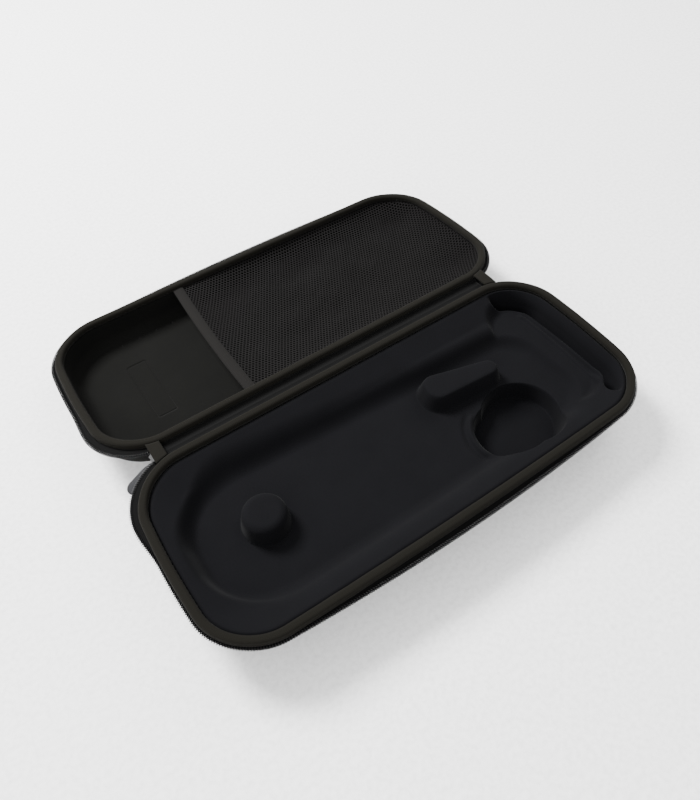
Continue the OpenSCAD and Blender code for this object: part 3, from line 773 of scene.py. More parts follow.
def lining_floor(points):
    """Height of the lid's inner floor, with the pressed frame."""
    s, f = sizes(), FRAME
    x, y = np.abs(points[:, 0] - f["x"]), np.abs(points[:, 1])
    across, along = x - f["half_w"] + f["r"], y - f["half_l"] + f["r"]
    rounded_off = np.hypot(across, along) - f["r"]
    out = np.where((across > 0) & (along > 0), rounded_off, np.maximum(across, along) - f["r"])
    pressed = f["groove"] * np.exp(-(out / f["groove_w"]) ** 2) + f["field"] * np.clip(-out / f["r"], 0, 1)
    soft = np.array([noise.noise(Vector((a / 30, b / 30, 8.2))) for a, b in points])
    return s.wall_in - s.cover_in - LID_H - pressed + 0.12 * soft


class CASE_OT_lid_lining(bpy.types.Operator):
    """Brushed lining of the lid, with the bare frame pressed into it"""
    bl_idname = "case.lid_lining"
    bl_label = "Lid lining"

    def execute(self, context):
        s = sizes()
        stations = rim_stations(2.0)
        centre, normal, _, _ = stations
        heel = (-s.cover_in - s.lid_lean - s.lid_edge_r, s.lid_edge_r - LID_H)
        inner_r = s.lid_edge_r - s.wall_in + s.cover_in
        section = [(-s.wall_in, -1.2), (-s.wall_in, -s.upright_h), (-s.wall_in - s.lid_lean, heel[1])]
        section += arc_points(heel, inner_r, 0, -90, 8)[1:]
        inset, level = section[-1]
        wall_verts, wall_faces, _ = sweep(stations, section, closed_section=False)
        ring = centre + normal * (s.corner_r + inset)
        f = FRAME
        across, along = f["half_w"] - f["r"], f["half_l"] - f["r"]
        extra = []
        for grow in np.arange(-2.0, 2.1, 0.4):
            radius = max(f["r"] + grow, 0.2)
            corners = [(f["x"] + sx * across, sy * along, radius) for sx in (-1, 1) for sy in (-1, 1)]
            extra.append(circle_hull(corners, 0.0, 1.0))
        flat, faces = skin(ring, np.vstack(extra), 3.5, 0.8)
        near = np.array([rim_distance(a, b) for a, b in flat]) + inset
        height = level + (lining_floor(flat) - level) * np.clip(near / 8, 0, 1)
        start = len(wall_verts)
        rows = len(section)
        count = len(ring)
        index = {i: i * rows + rows - 1 for i in range(count)}
        floor_faces = [tuple(index.get(i, start + i - count) for i in face) for face in upwards(flat, faces)]
        verts = np.vstack([wall_verts, np.column_stack([flat, height])[count:]])
        piece = half_piece("lid_lining_skin", verts, wall_faces + floor_faces, True)
        thicken(piece, 0.5, -1)
        # A brushed nap: matt, with faint patches where it was stroked
        lining = brushed_fabric("brushed_lining", tuple(finishes().lining), 0.6)
        dress(piece, lining, "lid", ["lid_lining"])
        return {"FINISHED"}


# Layers of a half's shell: depth below its outer skin, thickness and height of the top edge over the rim
COVER = (0.0, 1.0, -0.85)
FOAM = (1.1, 2.2, -0.95)
LINING = (3.4, 0.6, -0.95)


def shell(name, lid, depth, thick, top):
    """One closed layer of a half's shell, open towards the rim, with a flat floor."""
    s = sizes()
    height, radius, lean = (LID_H, s.lid_edge_r, s.lid_lean) if lid else (BASE_H, s.base_edge_r, s.base_lean)
    heel = (-s.cover_in - lean - radius, radius - height)

    def side(d):
        """Section from the top edge down to the floor, at depth d below the outer skin."""
        upright = [(-s.cover_in - d, top), (-s.cover_in - d, -s.upright_h)]
        return upright + arc_points(heel, radius - d, 0, -90, 10)

    section = side(depth)[::-1] + side(depth + thick)
    verts, faces, uv = sweep(rim_stations(2.0), section, closed_section=False)
    count = len(section)
    rows = len(verts) // count
    faces.append(tuple(i * count for i in reversed(range(rows))))
    faces.append(tuple(i * count + count - 1 for i in range(rows)))
    return half_piece(name, verts, faces, lid, uv)


class CASE_OT_covers(bpy.types.Operator):
    """Shells of both halves: woven fabric outside, moulded foam, and the base's lining under the tray"""
    bl_idname = "case.covers"
    bl_label = "Shells"

    def execute(self, context):
        # Woven polyester: a coarse weave that shows where light grazes it, with a painted highlight on its
        # raised threads
        cover = woven_fabric("woven_polyester", tuple(finishes().cover), 1.3)
        # Closed cells: an even matt black, seen only at the rim if at all
        foam = moulded_plastic("closed_cell_foam", tuple(finishes().cover), 0.9, 0.8, 0.1, gloss=0.1)
        lining = brushed_fabric("base_brushed_lining", tuple(finishes().lining), 0.6)
        for lid, body in HALVES:
            piece = shell(body + "_cover_fabric", lid, *COVER)
            dress(piece, cover, body, [body + "_cover"])
            piece = shell(body + "_foam_shell", lid, *FOAM)
            dress(piece, foam, body, [body + "_foam"])
        piece = shell("base_lining_skin", False, *LINING)
        dress(piece, lining, "base", ["base_lining"])
        return {"FINISHED"}


# The folded tape: radius of its edges, thickness of its legs and of its top
BINDING = {"r": 2.1, "cloth": 0.75, "top": 1.0}


class CASE_OT_bindings(bpy.types.Operator):
    """Knitted tapes folded over the edges of both halves"""
    bl_idname = "case.bindings"
    bl_label = "Bindings"

    def execute(self, context):
        s = sizes()
        # A knitted tape: fine ribs across the fold, a little warmer than the cloth
        knit = ribbed_fabric("knitted_binding", tuple(finishes().binding), 1.1, 0.8)
        stations = rim_stations(2.0)
        r, cloth, under = BINDING["r"], BINDING["cloth"], -BINDING["top"]
        section = [(0.0, -s.binding_h), (0.02, -s.binding_h / 2)]
        section += arc_points((-r, -r), r, 0, 90, 7)
        section += arc_points((r - s.binding_w, -r), r, 90, 180, 7)
        section += [(-s.binding_w, -s.binding_h), (-s.binding_w + cloth, -s.binding_h)]
        section += [(-s.binding_w + cloth, under), (-cloth, under), (-cloth, -s.binding_h)]
        for lid, body in HALVES:
            verts, faces, uv = sweep(stations, section, wobble=0.12, wavelength=14.0)
            piece = half_piece(body + "_binding_tape", verts, faces, lid, uv)
            dress(piece, knit, body, [body + "_binding"])
        return {"FINISHED"}


# Zip

# The tape lies this far below the binding's legs, droops towards its coil and sags between; it starts inside
# the wall and ends under the coil
TAPE = {"below": 0.5, "droop": 0.3, "in": 0.75, "under_coil": 0.9, "thick": 0.6, "sag": 0.5, "sag_max": 0.4}


class CASE_OT_zip_tapes(bpy.types.Operator):
    """Woven tapes from the walls out to the coils"""
    bl_idname = "case.zip_tapes"
    bl_label = "Zip tapes"

    def execute(self, context):
        s, t = sizes(), TAPE
        # A flat woven tape: darker and smoother than the binding
        weave = ribbed_fabric("woven_zip_tape", tuple(finishes().tape), 1.4, 0.9, roughness=0.85)
        shares = np.linspace(0, 1, 6)
        for lid, body in HALVES:
            outer = zip_run(2.0, -t["under_coil"], lid)
            inner = zip_run(2.0, t["in"], lid)
            along = np.concatenate([[0], np.cumsum(np.hypot(*np.diff(outer, axis=0).T))])
            loose = 1 - near_slider(inner)
            verts, uv = [], []
            for i, (a, b) in enumerate(zip(inner, outer)):
                width = np.hypot(*(b - a))
                ripple = 0.5 * noise.noise(Vector((a[0] / 24, a[1] / 24, 2.0 if lid else 5.0)))
                for share in shares:
                    sag = min(width / 30, t["sag_max"]) + t["sag"] * share
                    drop = (ripple * 0.3 - sag) * math.sin(math.pi * share) - t["droop"] * share
                    verts.append((*(a + (b - a) * share), -s.binding_h - t["below"] + drop * loose[i]))
                    uv.append((along[i], width * share))
            faces = grid_faces(len(inner), len(shares), turned=True)
            piece = new_piece(body + "_tape_weave", verts, faces, half_place(lid), uv)
            thicken(piece, t["thick"])
            dress(piece, weave, body, [body + "_zip_tape"])
        return {"FINISHED"}


def path_curve(name, points, place, cyclic=False):
    """A poly curve object through points in a half's millimetres."""
    curve = bpy.data.curves.new(name, "CURVE")
    curve.dimensions = "3D"
    spline = curve.splines.new("POLY")
    spline.points.add(len(points) - 1)
    for target, p in zip(spline.points, points):
        target.co = (*(place @ Vector(p)), 1)
    spline.use_cyclic_u = cyclic
    return new_object(name, curve)


def repeat_tree(name, mat, single):
    """Geometry Nodes: copies of a small mesh, evenly spaced along a curve and lying as the curve lies."""
    tree = bpy.data.node_groups.new(name, "GeometryNodeTree")
    face = tree.interface
    face.new_socket("Geometry", in_out="INPUT", socket_type="NodeSocketGeometry")
    pitch = face.new_socket("Pitch", in_out="INPUT", socket_type="NodeSocketFloat")
    side = face.new_socket("Up X", in_out="INPUT", socket_type="NodeSocketVector")
    face.new_socket("Geometry", in_out="OUTPUT", socket_type="NodeSocketGeometry")
    source = tree.nodes.new("NodeGroupInput")
    points = add(tree, "GeometryNodeCurveToPoints",
                 {"Curve": source.outputs["Geometry"], "Length": source.outputs["Pitch"]}, mode="LENGTH")
    ahead = add(tree, "FunctionNodeAlignRotationToVector", {"Vector": points.outputs["Tangent"]}, axis="X")
    level = add(tree, "FunctionNodeAlignRotationToVector",
                {"Rotation": ahead.outputs[0], "Vector": source.outputs["Up X"]}, axis="Z", pivot_axis="X")
    shape = add(tree, "GeometryNodeObjectInfo", {"Object": single}, transform_space="ORIGINAL")
    copies = add(tree, "GeometryNodeInstanceOnPoints",
                 {"Points": points.outputs["Points"], "Instance": shape.outputs["Geometry"],
                  "Rotation": level.outputs[0]})
    real = add(tree, "GeometryNodeRealizeInstances", {"Geometry": copies.outputs[0]})
    final = add(tree, "GeometryNodeSetMaterial", {"Geometry": real.outputs[0], "Material": mat})
    sink = tree.nodes.new("NodeGroupOutput")
    tree.links.new(final.outputs[0], sink.inputs["Geometry"])
    return tree, pitch.identifier, side.identifier


def bake_tree(holder, tree, values, name):
    """Runs a tree on a holder and keeps the result as a plain mesh."""
    live = holder.modifiers.new("repeat", "NODES")
    live.node_group = tree
    for key, value in values.items():
        live[key] = value
    bpy.context.view_layer.update()
    done = holder.evaluated_get(bpy.context.evaluated_depsgraph_get())
    mesh = bpy.data.meshes.new_from_object(done)
    mesh.name = name
    bpy.data.objects.remove(holder)
    return new_object(name, mesh)


def stamp(name, verts, faces):
    """A small smooth mesh object to be copied along a curve, from vertices in millimetres."""
    mesh = bpy.data.meshes.new(name)
    mesh.from_pydata([v * MM for v in verts], [], faces)
    mesh.polygons.foreach_set("use_smooth", [True] * len(mesh.polygons))
    return new_object(name, mesh)


def coil_turn(width, height=1.5, wire=0.62, lean=0.5, around=10, sides=5):
    """One turn of the coil: an oval loop of filament, with a blunt head on its outer side."""
    verts = []
    for i in range(around):
        w = math.tau * i / around
        centre = Vector((lean * math.sin(w), width / 2 * math.cos(w), height / 2 * math.sin(w)))
        out = Vector((0, math.cos(w), math.sin(w)))
        radius = wire * (1.25 if math.cos(w) > 0.8 else 1.0) / 2
        for k in range(sides):
            v = math.tau * k / sides
            verts.append(centre + radius * (math.cos(v) * out + math.sin(v) * Vector((1, 0, 0))))
    faces = grid_faces(around, sides, closed_rows=True, closed_count=True, turned=True)
    return stamp("coil_turn", verts, faces)


def stitch(length, thick, rows=5, sides=6):
    """One stitch: a short thread that dips at both ends."""
    verts = []
    for i in range(rows):
        t = i / (rows - 1) * 2 - 1
        girth = thick / 2 * math.sqrt(max(1 - t ** 4, 0.02))
        dip = -0.35 * thick * t * t
        for k in range(sides):
            w = math.tau * k / sides
            verts.append(Vector((t * length / 2, girth * math.cos(w), dip + girth * math.sin(w))))
    faces = grid_faces(rows, sides, closed_count=True, turned=True)
    faces.append(tuple(range(sides)))
    faces.append(tuple(reversed(range((rows - 1) * sides, rows * sides))))
    return stamp("stitch", verts, [tuple(reversed(face)) for face in faces])


def up_of(lid):
    """Direction that a half faces, in the frame."""
    return (half_place(lid).to_3x3() @ Vector((0, 0, 1))).normalized()


def repeat(holder, single, mat, spacing, lid, name):
    """Copies of a small mesh along a curve of one half, as a plain mesh. The curve and the mesh go."""
    tree, pitch, side = repeat_tree(name, mat, single)
    piece = bake_tree(holder, tree, {pitch: spacing * MM, side: up_of(lid)}, name)
    bpy.data.objects.remove(single)
    return piece


# The middle line of a turn is narrower than the coil by this much, for the filament's own thickness
COIL_WIRE_ROOM = 0.5


class CASE_OT_zip_coils(bpy.types.Operator):
    """Nylon coils: every turn of the filament along the edge of each tape"""
    bl_idname = "case.zip_coils"
    bl_label = "Zip coils"

    def execute(self, context):
        s = sizes()
        # Nylon filament: the glossiest part, with a small highlight on each turn
        nylon = moulded_plastic("nylon_coil", tuple(finishes().coil), 0.32, 0.5, 0.02)
        for lid, body in HALVES:
            path = zip_run(1.0, -s.coil_w / 2, lid)
            level = -s.binding_h - TAPE["below"] - TAPE["droop"] * (1 - near_slider(path))
            holder = path_curve("coil_path", np.column_stack([path, level]), half_place(lid))
            turn = coil_turn(s.coil_w - COIL_WIRE_ROOM)
            piece = repeat(holder, turn, nylon, s.coil_pitch, lid, body + "_coil_turns")
            dress(piece, nylon, body, [body + "_zip_coil"])
        return {"FINISHED"}


# Height of the seam over the rim, and a stitch's share of its pitch
STITCH_Z = -3.0
STITCH_SHARE = 0.7


class CASE_OT_stitches(bpy.types.Operator):
    """Stitches along the inner legs of both bindings"""
    bl_idname = "case.stitches"
    bl_label = "Stitches"

    def execute(self, context):
        s = sizes()
        # Twisted polyester: a dull thread, close to the binding in tone
        thread = moulded_plastic("polyester_thread", tuple(finishes().thread), 0.7, 0.4, 0.05, gloss=0.1)
        centre, normal, _, _ = rim_stations(1.5)
        seam = centre + normal * (s.corner_r - s.binding_w - 0.02)
        for lid, body in HALVES:
            path = [(x, y, STITCH_Z) for x, y in bow(seam, lid)]
            holder = path_curve("stitch_path", path, half_place(lid), cyclic=True)
            single = stitch(s.stitch_pitch * STITCH_SHARE, s.stitch_d)
            piece = repeat(holder, single, thread, s.stitch_pitch, lid, body + "_binding_stitches")
            dress(piece, thread, body)
        return {"FINISHED"}


# Net and band

# The band's place and its own sag, then how the net is held: how far it runs under the binding, its thread,
# its height at the edge, and the runs over which it lets go of the rim and of the band
BAND = {"x": -57.6, "w": 8.2, "turn": math.radians(2.2), "z": -3.5, "sag": 1.2, "thick": 1.3}
NET_UNDER = 0.6
NET_THREAD = 0.35
NET_Z = -4.4
RIM_HOLD = 13.0
BAND_HOLD = 34.0


def past_band(x, y):
    """Distance beyond the band's middle line, on the net's side."""
    return (x - BAND["x"]) * math.cos(BAND["turn"]) + y * math.sin(BAND["turn"])


def net_depth(x, y):
    """Height of the net: held at the rim and the band, sagging between, with slack folds."""
    s = sizes()
    edge = rim_distance(x, y) - s.binding_w + NET_UNDER
    hold = 1 - math.exp(-max(edge, 0) / RIM_HOLD)
    hold_band = 1 - math.exp(-max(past_band(x, y) - BAND["w"] / 2, 0) / BAND_HOLD)
    folds = noise.noise(Vector((x / 34, y / 20, 0.4))) + 0.5 * noise.noise(Vector((x / 15, y / 28, 6.0)))
    crease = 0.5 * noise.noise(Vector(((x + y) / 7, (x - y) / 36, 2.2)))
    return NET_Z - hold * hold_band * (s.net_sag * (1.15 + 0.3 * folds) + 0.7 * crease)


class CASE_OT_net(bpy.types.Operator):
    """Net pocket: a sagging sheet of thread round small holes"""
    bl_idname = "case.net"
    bl_label = "Net pocket"

    def execute(self, context):
        s = sizes()
        # Knitted mesh: dull thread round dark holes
        thread = brushed_fabric("net_thread", tuple(finishes().net), 0.35, roughness=0.8)
        pitch = s.hole_pitch
        row_step = pitch * math.sqrt(3) / 2
        inset = s.binding_w - NET_UNDER

        def settle(x, y):
            """Moves a point that falls outside the net's outline on to it."""
            if inset > rim_distance(x, y):
                r = s.corner_r
                cx = min(max(x, r - HALF_L), HALF_L - r)
                cy = min(max(y, r - HALF_W), HALF_W - r)
                gap = Vector((x - cx, y - cy))
                if gap.length > 0:
                    gap.length = r - inset
                    x, y = cx + gap[0], cy + gap[1]
            return x - min(past_band(x, y), 0) * math.cos(BAND["turn"]), y

        index, verts, faces = {}, [], []
        corners = [(pitch / math.sqrt(3) * math.cos(math.radians(30 + 60 * k)),
                    pitch / math.sqrt(3) * math.sin(math.radians(30 + 60 * k))) for k in range(6)]
        for row in range(int(-HALF_W / row_step), int(HALF_W / row_step) + 1):
            for column in range(int(-75 / pitch), int(HALF_L / pitch) + 1):
                x = column * pitch + (pitch / 2 if row % 2 else 0)
                y = row * row_step
                if rim_distance(x, y) < inset - 0.2 or past_band(x, y) < -0.2:
                    continue
                face = []
                for dx, dy in corners:
                    key = (round((x + dx) * 20), round((y + dy) * 20))
                    if key not in index:
                        index[key] = len(verts)
                        px, py = settle(x + dx, y + dy)
                        verts.append((px, py, net_depth(px, py)))
                    face.append(index[key])
                faces.append(face)
        cloth = half_piece("net_cells", verts, faces, True)
        tree = bpy.data.node_groups.new("net_holes", "GeometryNodeTree")
        tree.interface.new_socket("Geometry", in_out="INPUT", socket_type="NodeSocketGeometry")
        share = tree.interface.new_socket("Hole share", in_out="INPUT", socket_type="NodeSocketFloat")
        tree.interface.new_socket("Geometry", in_out="OUTPUT", socket_type="NodeSocketGeometry")
        source = tree.nodes.new("NodeGroupInput")
        inset_faces = add(tree, "GeometryNodeExtrudeMesh",
                          {"Mesh": source.outputs["Geometry"], "Offset Scale": 0.0, "Individual": True},
                          mode="FACES")
        shrunk = add(tree, "GeometryNodeScaleElements",
                     {"Geometry": inset_faces.outputs["Mesh"], "Selection": inset_faces.outputs["Top"],
                      "Scale": source.outputs["Hole share"]}, domain="FACE")
        holes = add(tree, "GeometryNodeDeleteGeometry",
                    {"Geometry": shrunk.outputs[0], "Selection": inset_faces.outputs["Top"]}, domain="FACE")
        real = add(tree, "GeometryNodeRealizeInstances", {"Geometry": holes.outputs[0]})
        final = add(tree, "GeometryNodeSetMaterial", {"Geometry": real.outputs[0], "Material": thread})
        sink = tree.nodes.new("NodeGroupOutput")
        tree.links.new(final.outputs[0], sink.inputs["Geometry"])
        piece = bake_tree(cloth, tree, {share.identifier: s.hole_share}, "net_sheet")
        thicken(piece, NET_THREAD)
        piece.data.polygons.foreach_set("use_smooth", [True] * len(piece.data.polygons))
        dress(piece, thread, "lid", ["net_pocket"])
        return {"FINISHED"}


class CASE_OT_band(bpy.types.Operator):
    """Elastic band that holds the open edge of the net"""
    bl_idname = "case.band"
    bl_label = "Elastic band"

    def execute(self, context):
        s, b = sizes(), BAND
        reach = HALF_W - s.wall_in - 0.3
        verts, uv = [], []
        rows = 60
        section = [(-0.5, -0.1), (-0.42, 0.35), (0.0, 0.5), (0.42, 0.35), (0.5, -0.1), (0.42, -0.5),
                   (-0.42, -0.5)]
        for i in range(rows + 1):
            t = i / rows * 2 - 1
            y = t * reach
            level = b["z"] - b["sag"] * (1 - t * t)
            width = b["w"] * (0.94 + 0.06 * t * t)
            for u, v in section:
                across = u * width
                verts.append((b["x"] + across * math.cos(b["turn"]) - y * math.sin(b["turn"]),
                              y * math.cos(b["turn"]) + across * math.sin(b["turn"]), level + v * b["thick"]))
                uv.append((y, across + (0 if v > 0 else 20)))
        count = len(section)
        faces = grid_faces(rows + 1, count, closed_count=True)
        faces.append(tuple(range(count)))
        faces.append(tuple(reversed(range(rows * count, (rows + 1) * count))))
        faces = [tuple(reversed(face)) for face in faces]
        piece = half_piece("elastic_weave", verts, faces, True, uv)
        # A woven elastic: close ribs across its width, a touch lighter than the net
        elastic = ribbed_fabric("woven_elastic", tuple(finishes().elastic), 1.0, 1.3, roughness=0.85)
        dress(piece, elastic, "lid", ["elastic_band"])
        return {"FINISHED"}


# Hinge

# The fabric is fixed to the wall from its upper edge down, and turns across the gap with a small hump
HINGE_TOP = -4.4
HINGE_TURN = (2.2, 0.7)
HINGE_STEP = 1.0
HINGE_HUMP = 0.6

# Name, frame node, depth below the rim, place outside the rim, thickness and half length of each fabric
HINGE_FABRICS = (("hinge_outer", "hinge_spine", 7.1, -0.3, 0.8, 131.0),
                 ("hinge_inner", "hinge_inner_strip", 6.0, 0.5, 0.6, 127.0))


def hinge_rows(depth, outset):
    """Profile of a hinge fabric in the frame's Y and Z: down one wall, across the fold and up the other."""
    levels = [HINGE_TOP] + [-depth + rise for rise in HINGE_TURN]
    walls, feet = [], []
    for lid, _ in HALVES:
        place = half_place(lid)
        walls.append([place @ Vector((0, HALF_W + outset, z)) for z in levels])
        feet.append(place @ Vector((0, HALF_W + outset + HINGE_STEP, -depth)))
    middle = [feet[0].lerp(feet[1], t) for t in (0, 0.2, 0.4, 0.5, 0.6, 0.8, 1)]
    middle[3].z += HINGE_HUMP * MM
    return walls[0] + middle + walls[1][::-1]


def across_hinge(piece):
    """Bakes a piece's placement into its mesh."""
    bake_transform(piece)


class CASE_OT_hinge(bpy.types.Operator):
    """Fabric hinge: the outer spine and the narrower strip that covers it inside"""
    bl_idname = "case.hinge"
    bl_label = "Fabric hinge"

    def execute(self, context):
        # The same kind of tape as the zip has, in a dull black
        weave = ribbed_fabric("woven_hinge_fabric", tuple(finishes().hinge), 1.2, 1.0, roughness=0.85)
        for name, node, depth, outset, thick, half_length in HINGE_FABRICS:
            profile = hinge_rows(depth, outset)
            steps = [(b - a).length for a, b in zip(profile, profile[1:])]
            across = np.concatenate([[0], np.cumsum(steps)]) / MM
            count = len(profile)
            rows = 90
            verts, uv = [], []
            for i in range(rows + 1):
                x = half_length * (2 * i / rows - 1)
                for k, p in enumerate(profile):
                    soft = 0.25 * noise.noise(Vector((x / 16, k * 0.7, 4.0 + depth)))
                    verts.append((x, p.y / MM, p.z / MM + soft * (0.3 if k in (0, count - 1) else 1)))
                    uv.append((x, across[k]))
            faces = grid_faces(rows + 1, count)
            piece = new_piece(name, verts, faces, Matrix.Scale(MM, 4), uv)
            smooth = piece.modifiers.new("soft folds", "SUBSURF")
            smooth.levels = 1
            smooth.render_levels = 1
            thicken(piece, thick)
            dress(piece, weave, None, [node])
            across_hinge(piece)
        return {"FINISHED"}


# Middle of the case to a patch's inner edge, its width, its depth below the rim and its reach over the wall
PATCH = {"from": 126.0, "w": 8.3, "deep": 1.3, "over": 0.1, "thick": 1.0}


class CASE_OT_patches(bpy.types.Operator):
    """Knitted patches over both ends of the hinge"""
    bl_idname = "case.patches"
    bl_label = "End patches"

    def execute(self, context):
        s = sizes()
        # The same knit as the bindings
        knit = ribbed_fabric("knitted_patch", tuple(finishes().binding), 1.1, 0.8)
        base, lid = half_place(False), half_place(True)
        cx, cy = HALF_L - s.corner_r, HALF_W - s.corner_r
        turn = np.radians(np.linspace(90, 60, 40))
        radius = s.corner_r + PATCH["over"]
        rim = bow(np.stack([cx + radius * np.cos(turn), cy + radius * np.sin(turn)], axis=1), False)
        for side, name in ((-1, "left"), (1, "right")):
            verts, uv = [], []
            rows, count = 9, 13
            for i in range(rows):
                x = PATCH["from"] + PATCH["w"] * i / (rows - 1)
                edge = float(np.interp(x, rim[:, 0], rim[:, 1]))
                a, b = [place @ Vector((x, edge, -PATCH["deep"])) for place in (base, lid)]
                for k in range(count):
                    t = k / (count - 1)
                    p = a.lerp(b, t) / MM
                    dip = 0.25 * math.sin(math.pi * t) + 0.12 * noise.noise(Vector((x / 3, t * 4, side)))
                    verts.append((side * x, p.y, p.z + dip))
                    uv.append((p.y, x))
            faces = grid_faces(rows, count)
            if side < 0:
                faces = [tuple(reversed(face)) for face in faces]
            piece = new_piece("patch_" + name, verts, faces, Matrix.Scale(MM, 4), uv)
            thicken(piece, PATCH["thick"])
            dress(piece, knit, None, ["end_patch_" + name])
            across_hinge(piece)
        return {"FINISHED"}


# Slider

def rounded(name, verts, faces, place, bevel, segments):
    """A mesh piece with its edges rounded by a bevel."""
    piece = new_piece(name, verts, faces, place)
    edge = piece.modifiers.new("edges", "BEVEL")
    edge.width = bevel * MM
    edge.segments = segments
    edge.limit_method = "ANGLE"
    return piece


def prism(outline, low, high):
    """Vertices and faces of an upright prism."""
    count = len(outline)
    verts = [(x, y, low) for x, y in outline] + [(x, y, high) for x, y in outline]
    faces = [tuple(reversed(range(count))), tuple(range(count, 2 * count))]
    faces += [(i, (i + 1) % count, (i + 1) % count + count, i + count) for i in range(count)]
    return verts, faces


# The tab hangs down from the wire's axis. Lengths run from that axis, and the bars stand on both faces
PULL_DROOP = math.radians(20)
TAB = {"root": 5.0, "tip": 27.0, "root_half": 3.2, "half": 4.5, "taper": 5.0, "half_thick": 1.1,
       "edge_r": 0.55}
BARS = {"count": 4, "from": 13.0, "pitch": 2.6, "half_w": 0.55, "half_l": 2.9, "at": 1.05, "rise": 0.3,
        "edge_r": 0.25}


def pull_place():
    """Matrix of the pull's own frame, x from the wire's axis to the tip."""
    joint = JOINTS["pull_swing"]
    swing = Vector(joint["axis"]).normalized()
    upright = Vector((0, 0, 1))
    ahead = swing.cross(upright) * math.cos(PULL_DROOP) - upright * math.sin(PULL_DROOP)
    turn = Matrix((ahead, swing, ahead.cross(swing))).transposed().to_4x4()
    return Matrix.Translation(Vector(joint["pos_m"])) @ turn @ Matrix.Scale(MM, 4)


class CASE_OT_pull(bpy.types.Operator):
    """Rubber tab of the zip pull, with grip bars on both faces"""
    bl_idname = "case.pull"
    bl_label = "Pull tab"

    def execute(self, context):
        # Soft rubber: smooth, a dark grey
        rubber = moulded_plastic("moulded_rubber", tuple(finishes().rubber), 0.6, 0.6, 0.05, gloss=0.2)
        place = pull_place()
        t, b = TAB, BARS
        shoulder = t["root"] + t["taper"]
        outline = [(t["root"], -t["root_half"]), (shoulder, -t["half"])]
        outline += arc_points((t["tip"] - t["half"], 0), t["half"], -90, 90, 14)
        outline += [(shoulder, t["half"]), (t["root"], t["root_half"])]
        verts, faces = prism(outline, -t["half_thick"], t["half_thick"])
        tab = rounded("tab_rubber", verts, faces, place, t["edge_r"], 4)
        dress(tab, rubber, "pull", ["pull_tab"])
        for k in range(b["count"]):
            x = b["from"] + b["pitch"] * k
            turns = ((-1, -1), (1, -1), (1, 1), (-1, 1))
            bar = [(x + sx * b["half_w"], sy * b["half_l"]) for sx, sy in turns]
            for side, face in ((-1, "under"), (1, "top")):
                verts, faces = prism(bar, side * b["at"] - b["rise"], side * b["at"] + b["rise"])
                grip = rounded(f"tab_bar_{k}_{face}", verts, faces, place, b["edge_r"], 3)
                dress(grip, rubber, "pull")
        return {"FINISHED"}


class CASE_OT_slider(bpy.types.Operator):
    """Painted metal finish on the frame's own slider and on the wire of its pull"""
    bl_idname = "case.slider"
    bl_label = "Slider"

    def execute(self, context):
        # Painted zinc: a satin black
        paint = moulded_plastic("painted_zinc", tuple(finishes().metal), 0.5, 0.7, 0.03, gloss=0.25)
        for name in ("slider_body", "pull_link"):
            node = frame["nodes"][name]
            node.data.materials.clear()
            node.data.materials.append(paint)
        return {"FINISHED"}


# Stage

# The photograph's camera, fitted to the rim corners of both halves: angles in radians, place in metres
CAMERA = {"turn": -0.5797, "rise": 0.9307, "roll": -0.0266, "at_m": (-0.15559, -0.18008, 0.38888),
          "focal_px": 686.9, "long_side_px": 800.0}
SENSOR_MM = 36.0

# Name, place and size in metres, and power in watts of each soft lamp
LAMPS = (("key", (-0.4, 1.0, 1.15), 0.5, 72.0),
         ("fill", (-0.9, -0.7, 0.9), 1.0, 12.0),
         ("side", (1.0, 0.5, 0.9), 0.8, 8.0))
LAMPS_AIM = Vector((0, 0.06, 0.02))
WORLD_STRENGTH = 1.25
FLOOR_HALF = 6.0


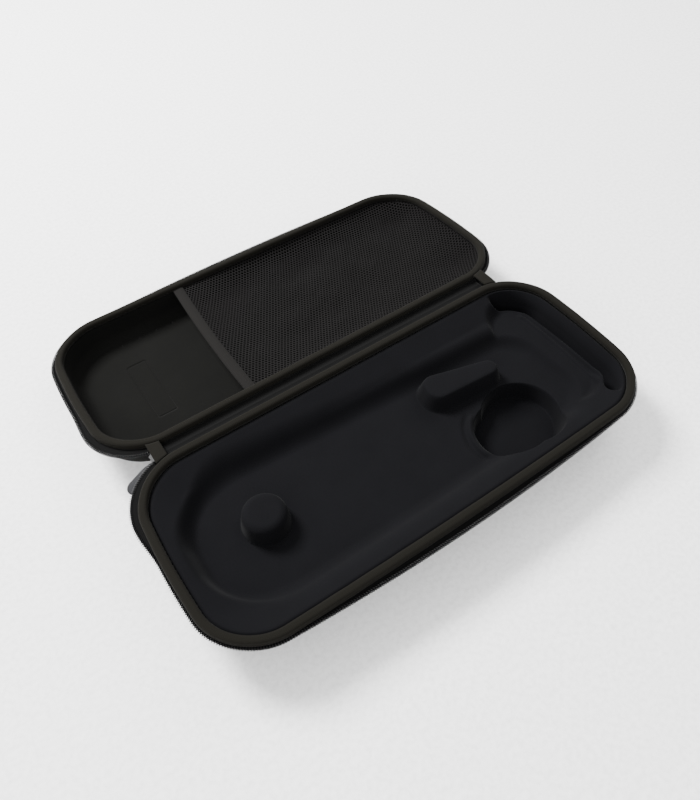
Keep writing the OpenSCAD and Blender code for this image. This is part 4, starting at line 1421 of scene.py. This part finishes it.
class CASE_OT_stage(bpy.types.Operator):
    """Camera at the photograph's angle, soft lights and a plain pale floor"""
    bl_idname = "case.stage"
    bl_label = "Stage"

    def execute(self, context):
        scene = context.scene
        turn, rise, roll = CAMERA["turn"], CAMERA["rise"], CAMERA["roll"]
        back = Vector((math.sin(turn) * math.cos(rise), -math.cos(turn) * math.cos(rise), math.sin(rise)))
        right = Vector((math.cos(turn), math.sin(turn), 0))
        up = back.cross(right)
        x_axis = math.cos(roll) * right + math.sin(roll) * up
        y_axis = -math.sin(roll) * right + math.cos(roll) * up
        lens = bpy.data.cameras.new("camera")
        lens.sensor_width = SENSOR_MM
        lens.lens = CAMERA["focal_px"] * SENSOR_MM / CAMERA["long_side_px"]
        lens.clip_start = 0.01
        camera = new_object("camera", lens)
        look = Matrix((x_axis, y_axis, back)).transposed().to_4x4()
        camera.matrix_world = Matrix.Translation(CAMERA["at_m"]) @ look
        scene.camera = camera

        world = bpy.data.worlds.new("studio")
        world.use_nodes = True
        background = world.node_tree.nodes["Background"]
        background.inputs["Color"].default_value = (1, 1, 1, 1)
        background.inputs["Strength"].default_value = WORLD_STRENGTH
        scene.world = world
        for name, place, size, power in LAMPS:
            light = bpy.data.lights.new(name, "AREA")
            light.size = size
            light.energy = power
            lamp = new_object(name, light)
            lamp.location = place
            lamp.rotation_euler = (LAMPS_AIM - Vector(place)).to_track_quat("-Z", "Y").to_euler()

        corners = [(-FLOOR_HALF, -FLOOR_HALF, 0), (FLOOR_HALF, -FLOOR_HALF, 0),
                   (FLOOR_HALF, FLOOR_HALF, 0), (-FLOOR_HALF, FLOOR_HALF, 0)]
        floor = new_piece("floor", corners, [(0, 1, 2, 3)], Matrix.Identity(4), smooth=False)
        # Paper: plain, pale and matt
        paper = moulded_plastic("studio_paper", tuple(finishes().floor), 0.9, 3.0, 0.01, gloss=0.1)
        floor.data.materials.append(paper)
        return {"FINISHED"}


class CASE_PT_panel(bpy.types.Panel):
    """Lists the pieces of the case"""
    bl_label = "Hard Case"
    bl_idname = "CASE_PT_panel"
    bl_space_type = "VIEW_3D"
    bl_region_type = "UI"
    bl_category = "Hard Case"

    def draw(self, context):
        for operator in OPERATORS:
            self.layout.operator(operator.bl_idname)
        for group in (context.scene.case_sizes, context.scene.case_finishes):
            box = self.layout.box()
            for key in group.__annotations__:
                box.prop(group, key)


OPERATORS = (CASE_OT_stage, CASE_OT_covers, CASE_OT_tray, CASE_OT_lid_lining, CASE_OT_bindings,
             CASE_OT_zip_tapes, CASE_OT_zip_coils, CASE_OT_stitches, CASE_OT_net, CASE_OT_band, CASE_OT_hinge,
             CASE_OT_patches, CASE_OT_slider, CASE_OT_pull)
CLASSES = (CaseSizes, CaseFinishes, *OPERATORS, CASE_PT_panel)


def register():
    for cls in CLASSES:
        bpy.utils.register_class(cls)
    bpy.types.Scene.case_sizes = PointerProperty(type=CaseSizes)
    bpy.types.Scene.case_finishes = PointerProperty(type=CaseFinishes)


def unregister():
    del bpy.types.Scene.case_sizes
    del bpy.types.Scene.case_finishes
    for cls in reversed(CLASSES):
        bpy.utils.unregister_class(cls)


def main():
    register()
    for operator in OPERATORS:
        group, name = operator.bl_idname.split(".")
        getattr(getattr(bpy.ops, group), name)()
    bpy.context.view_layer.update()


if __name__ == "__main__":
    main()
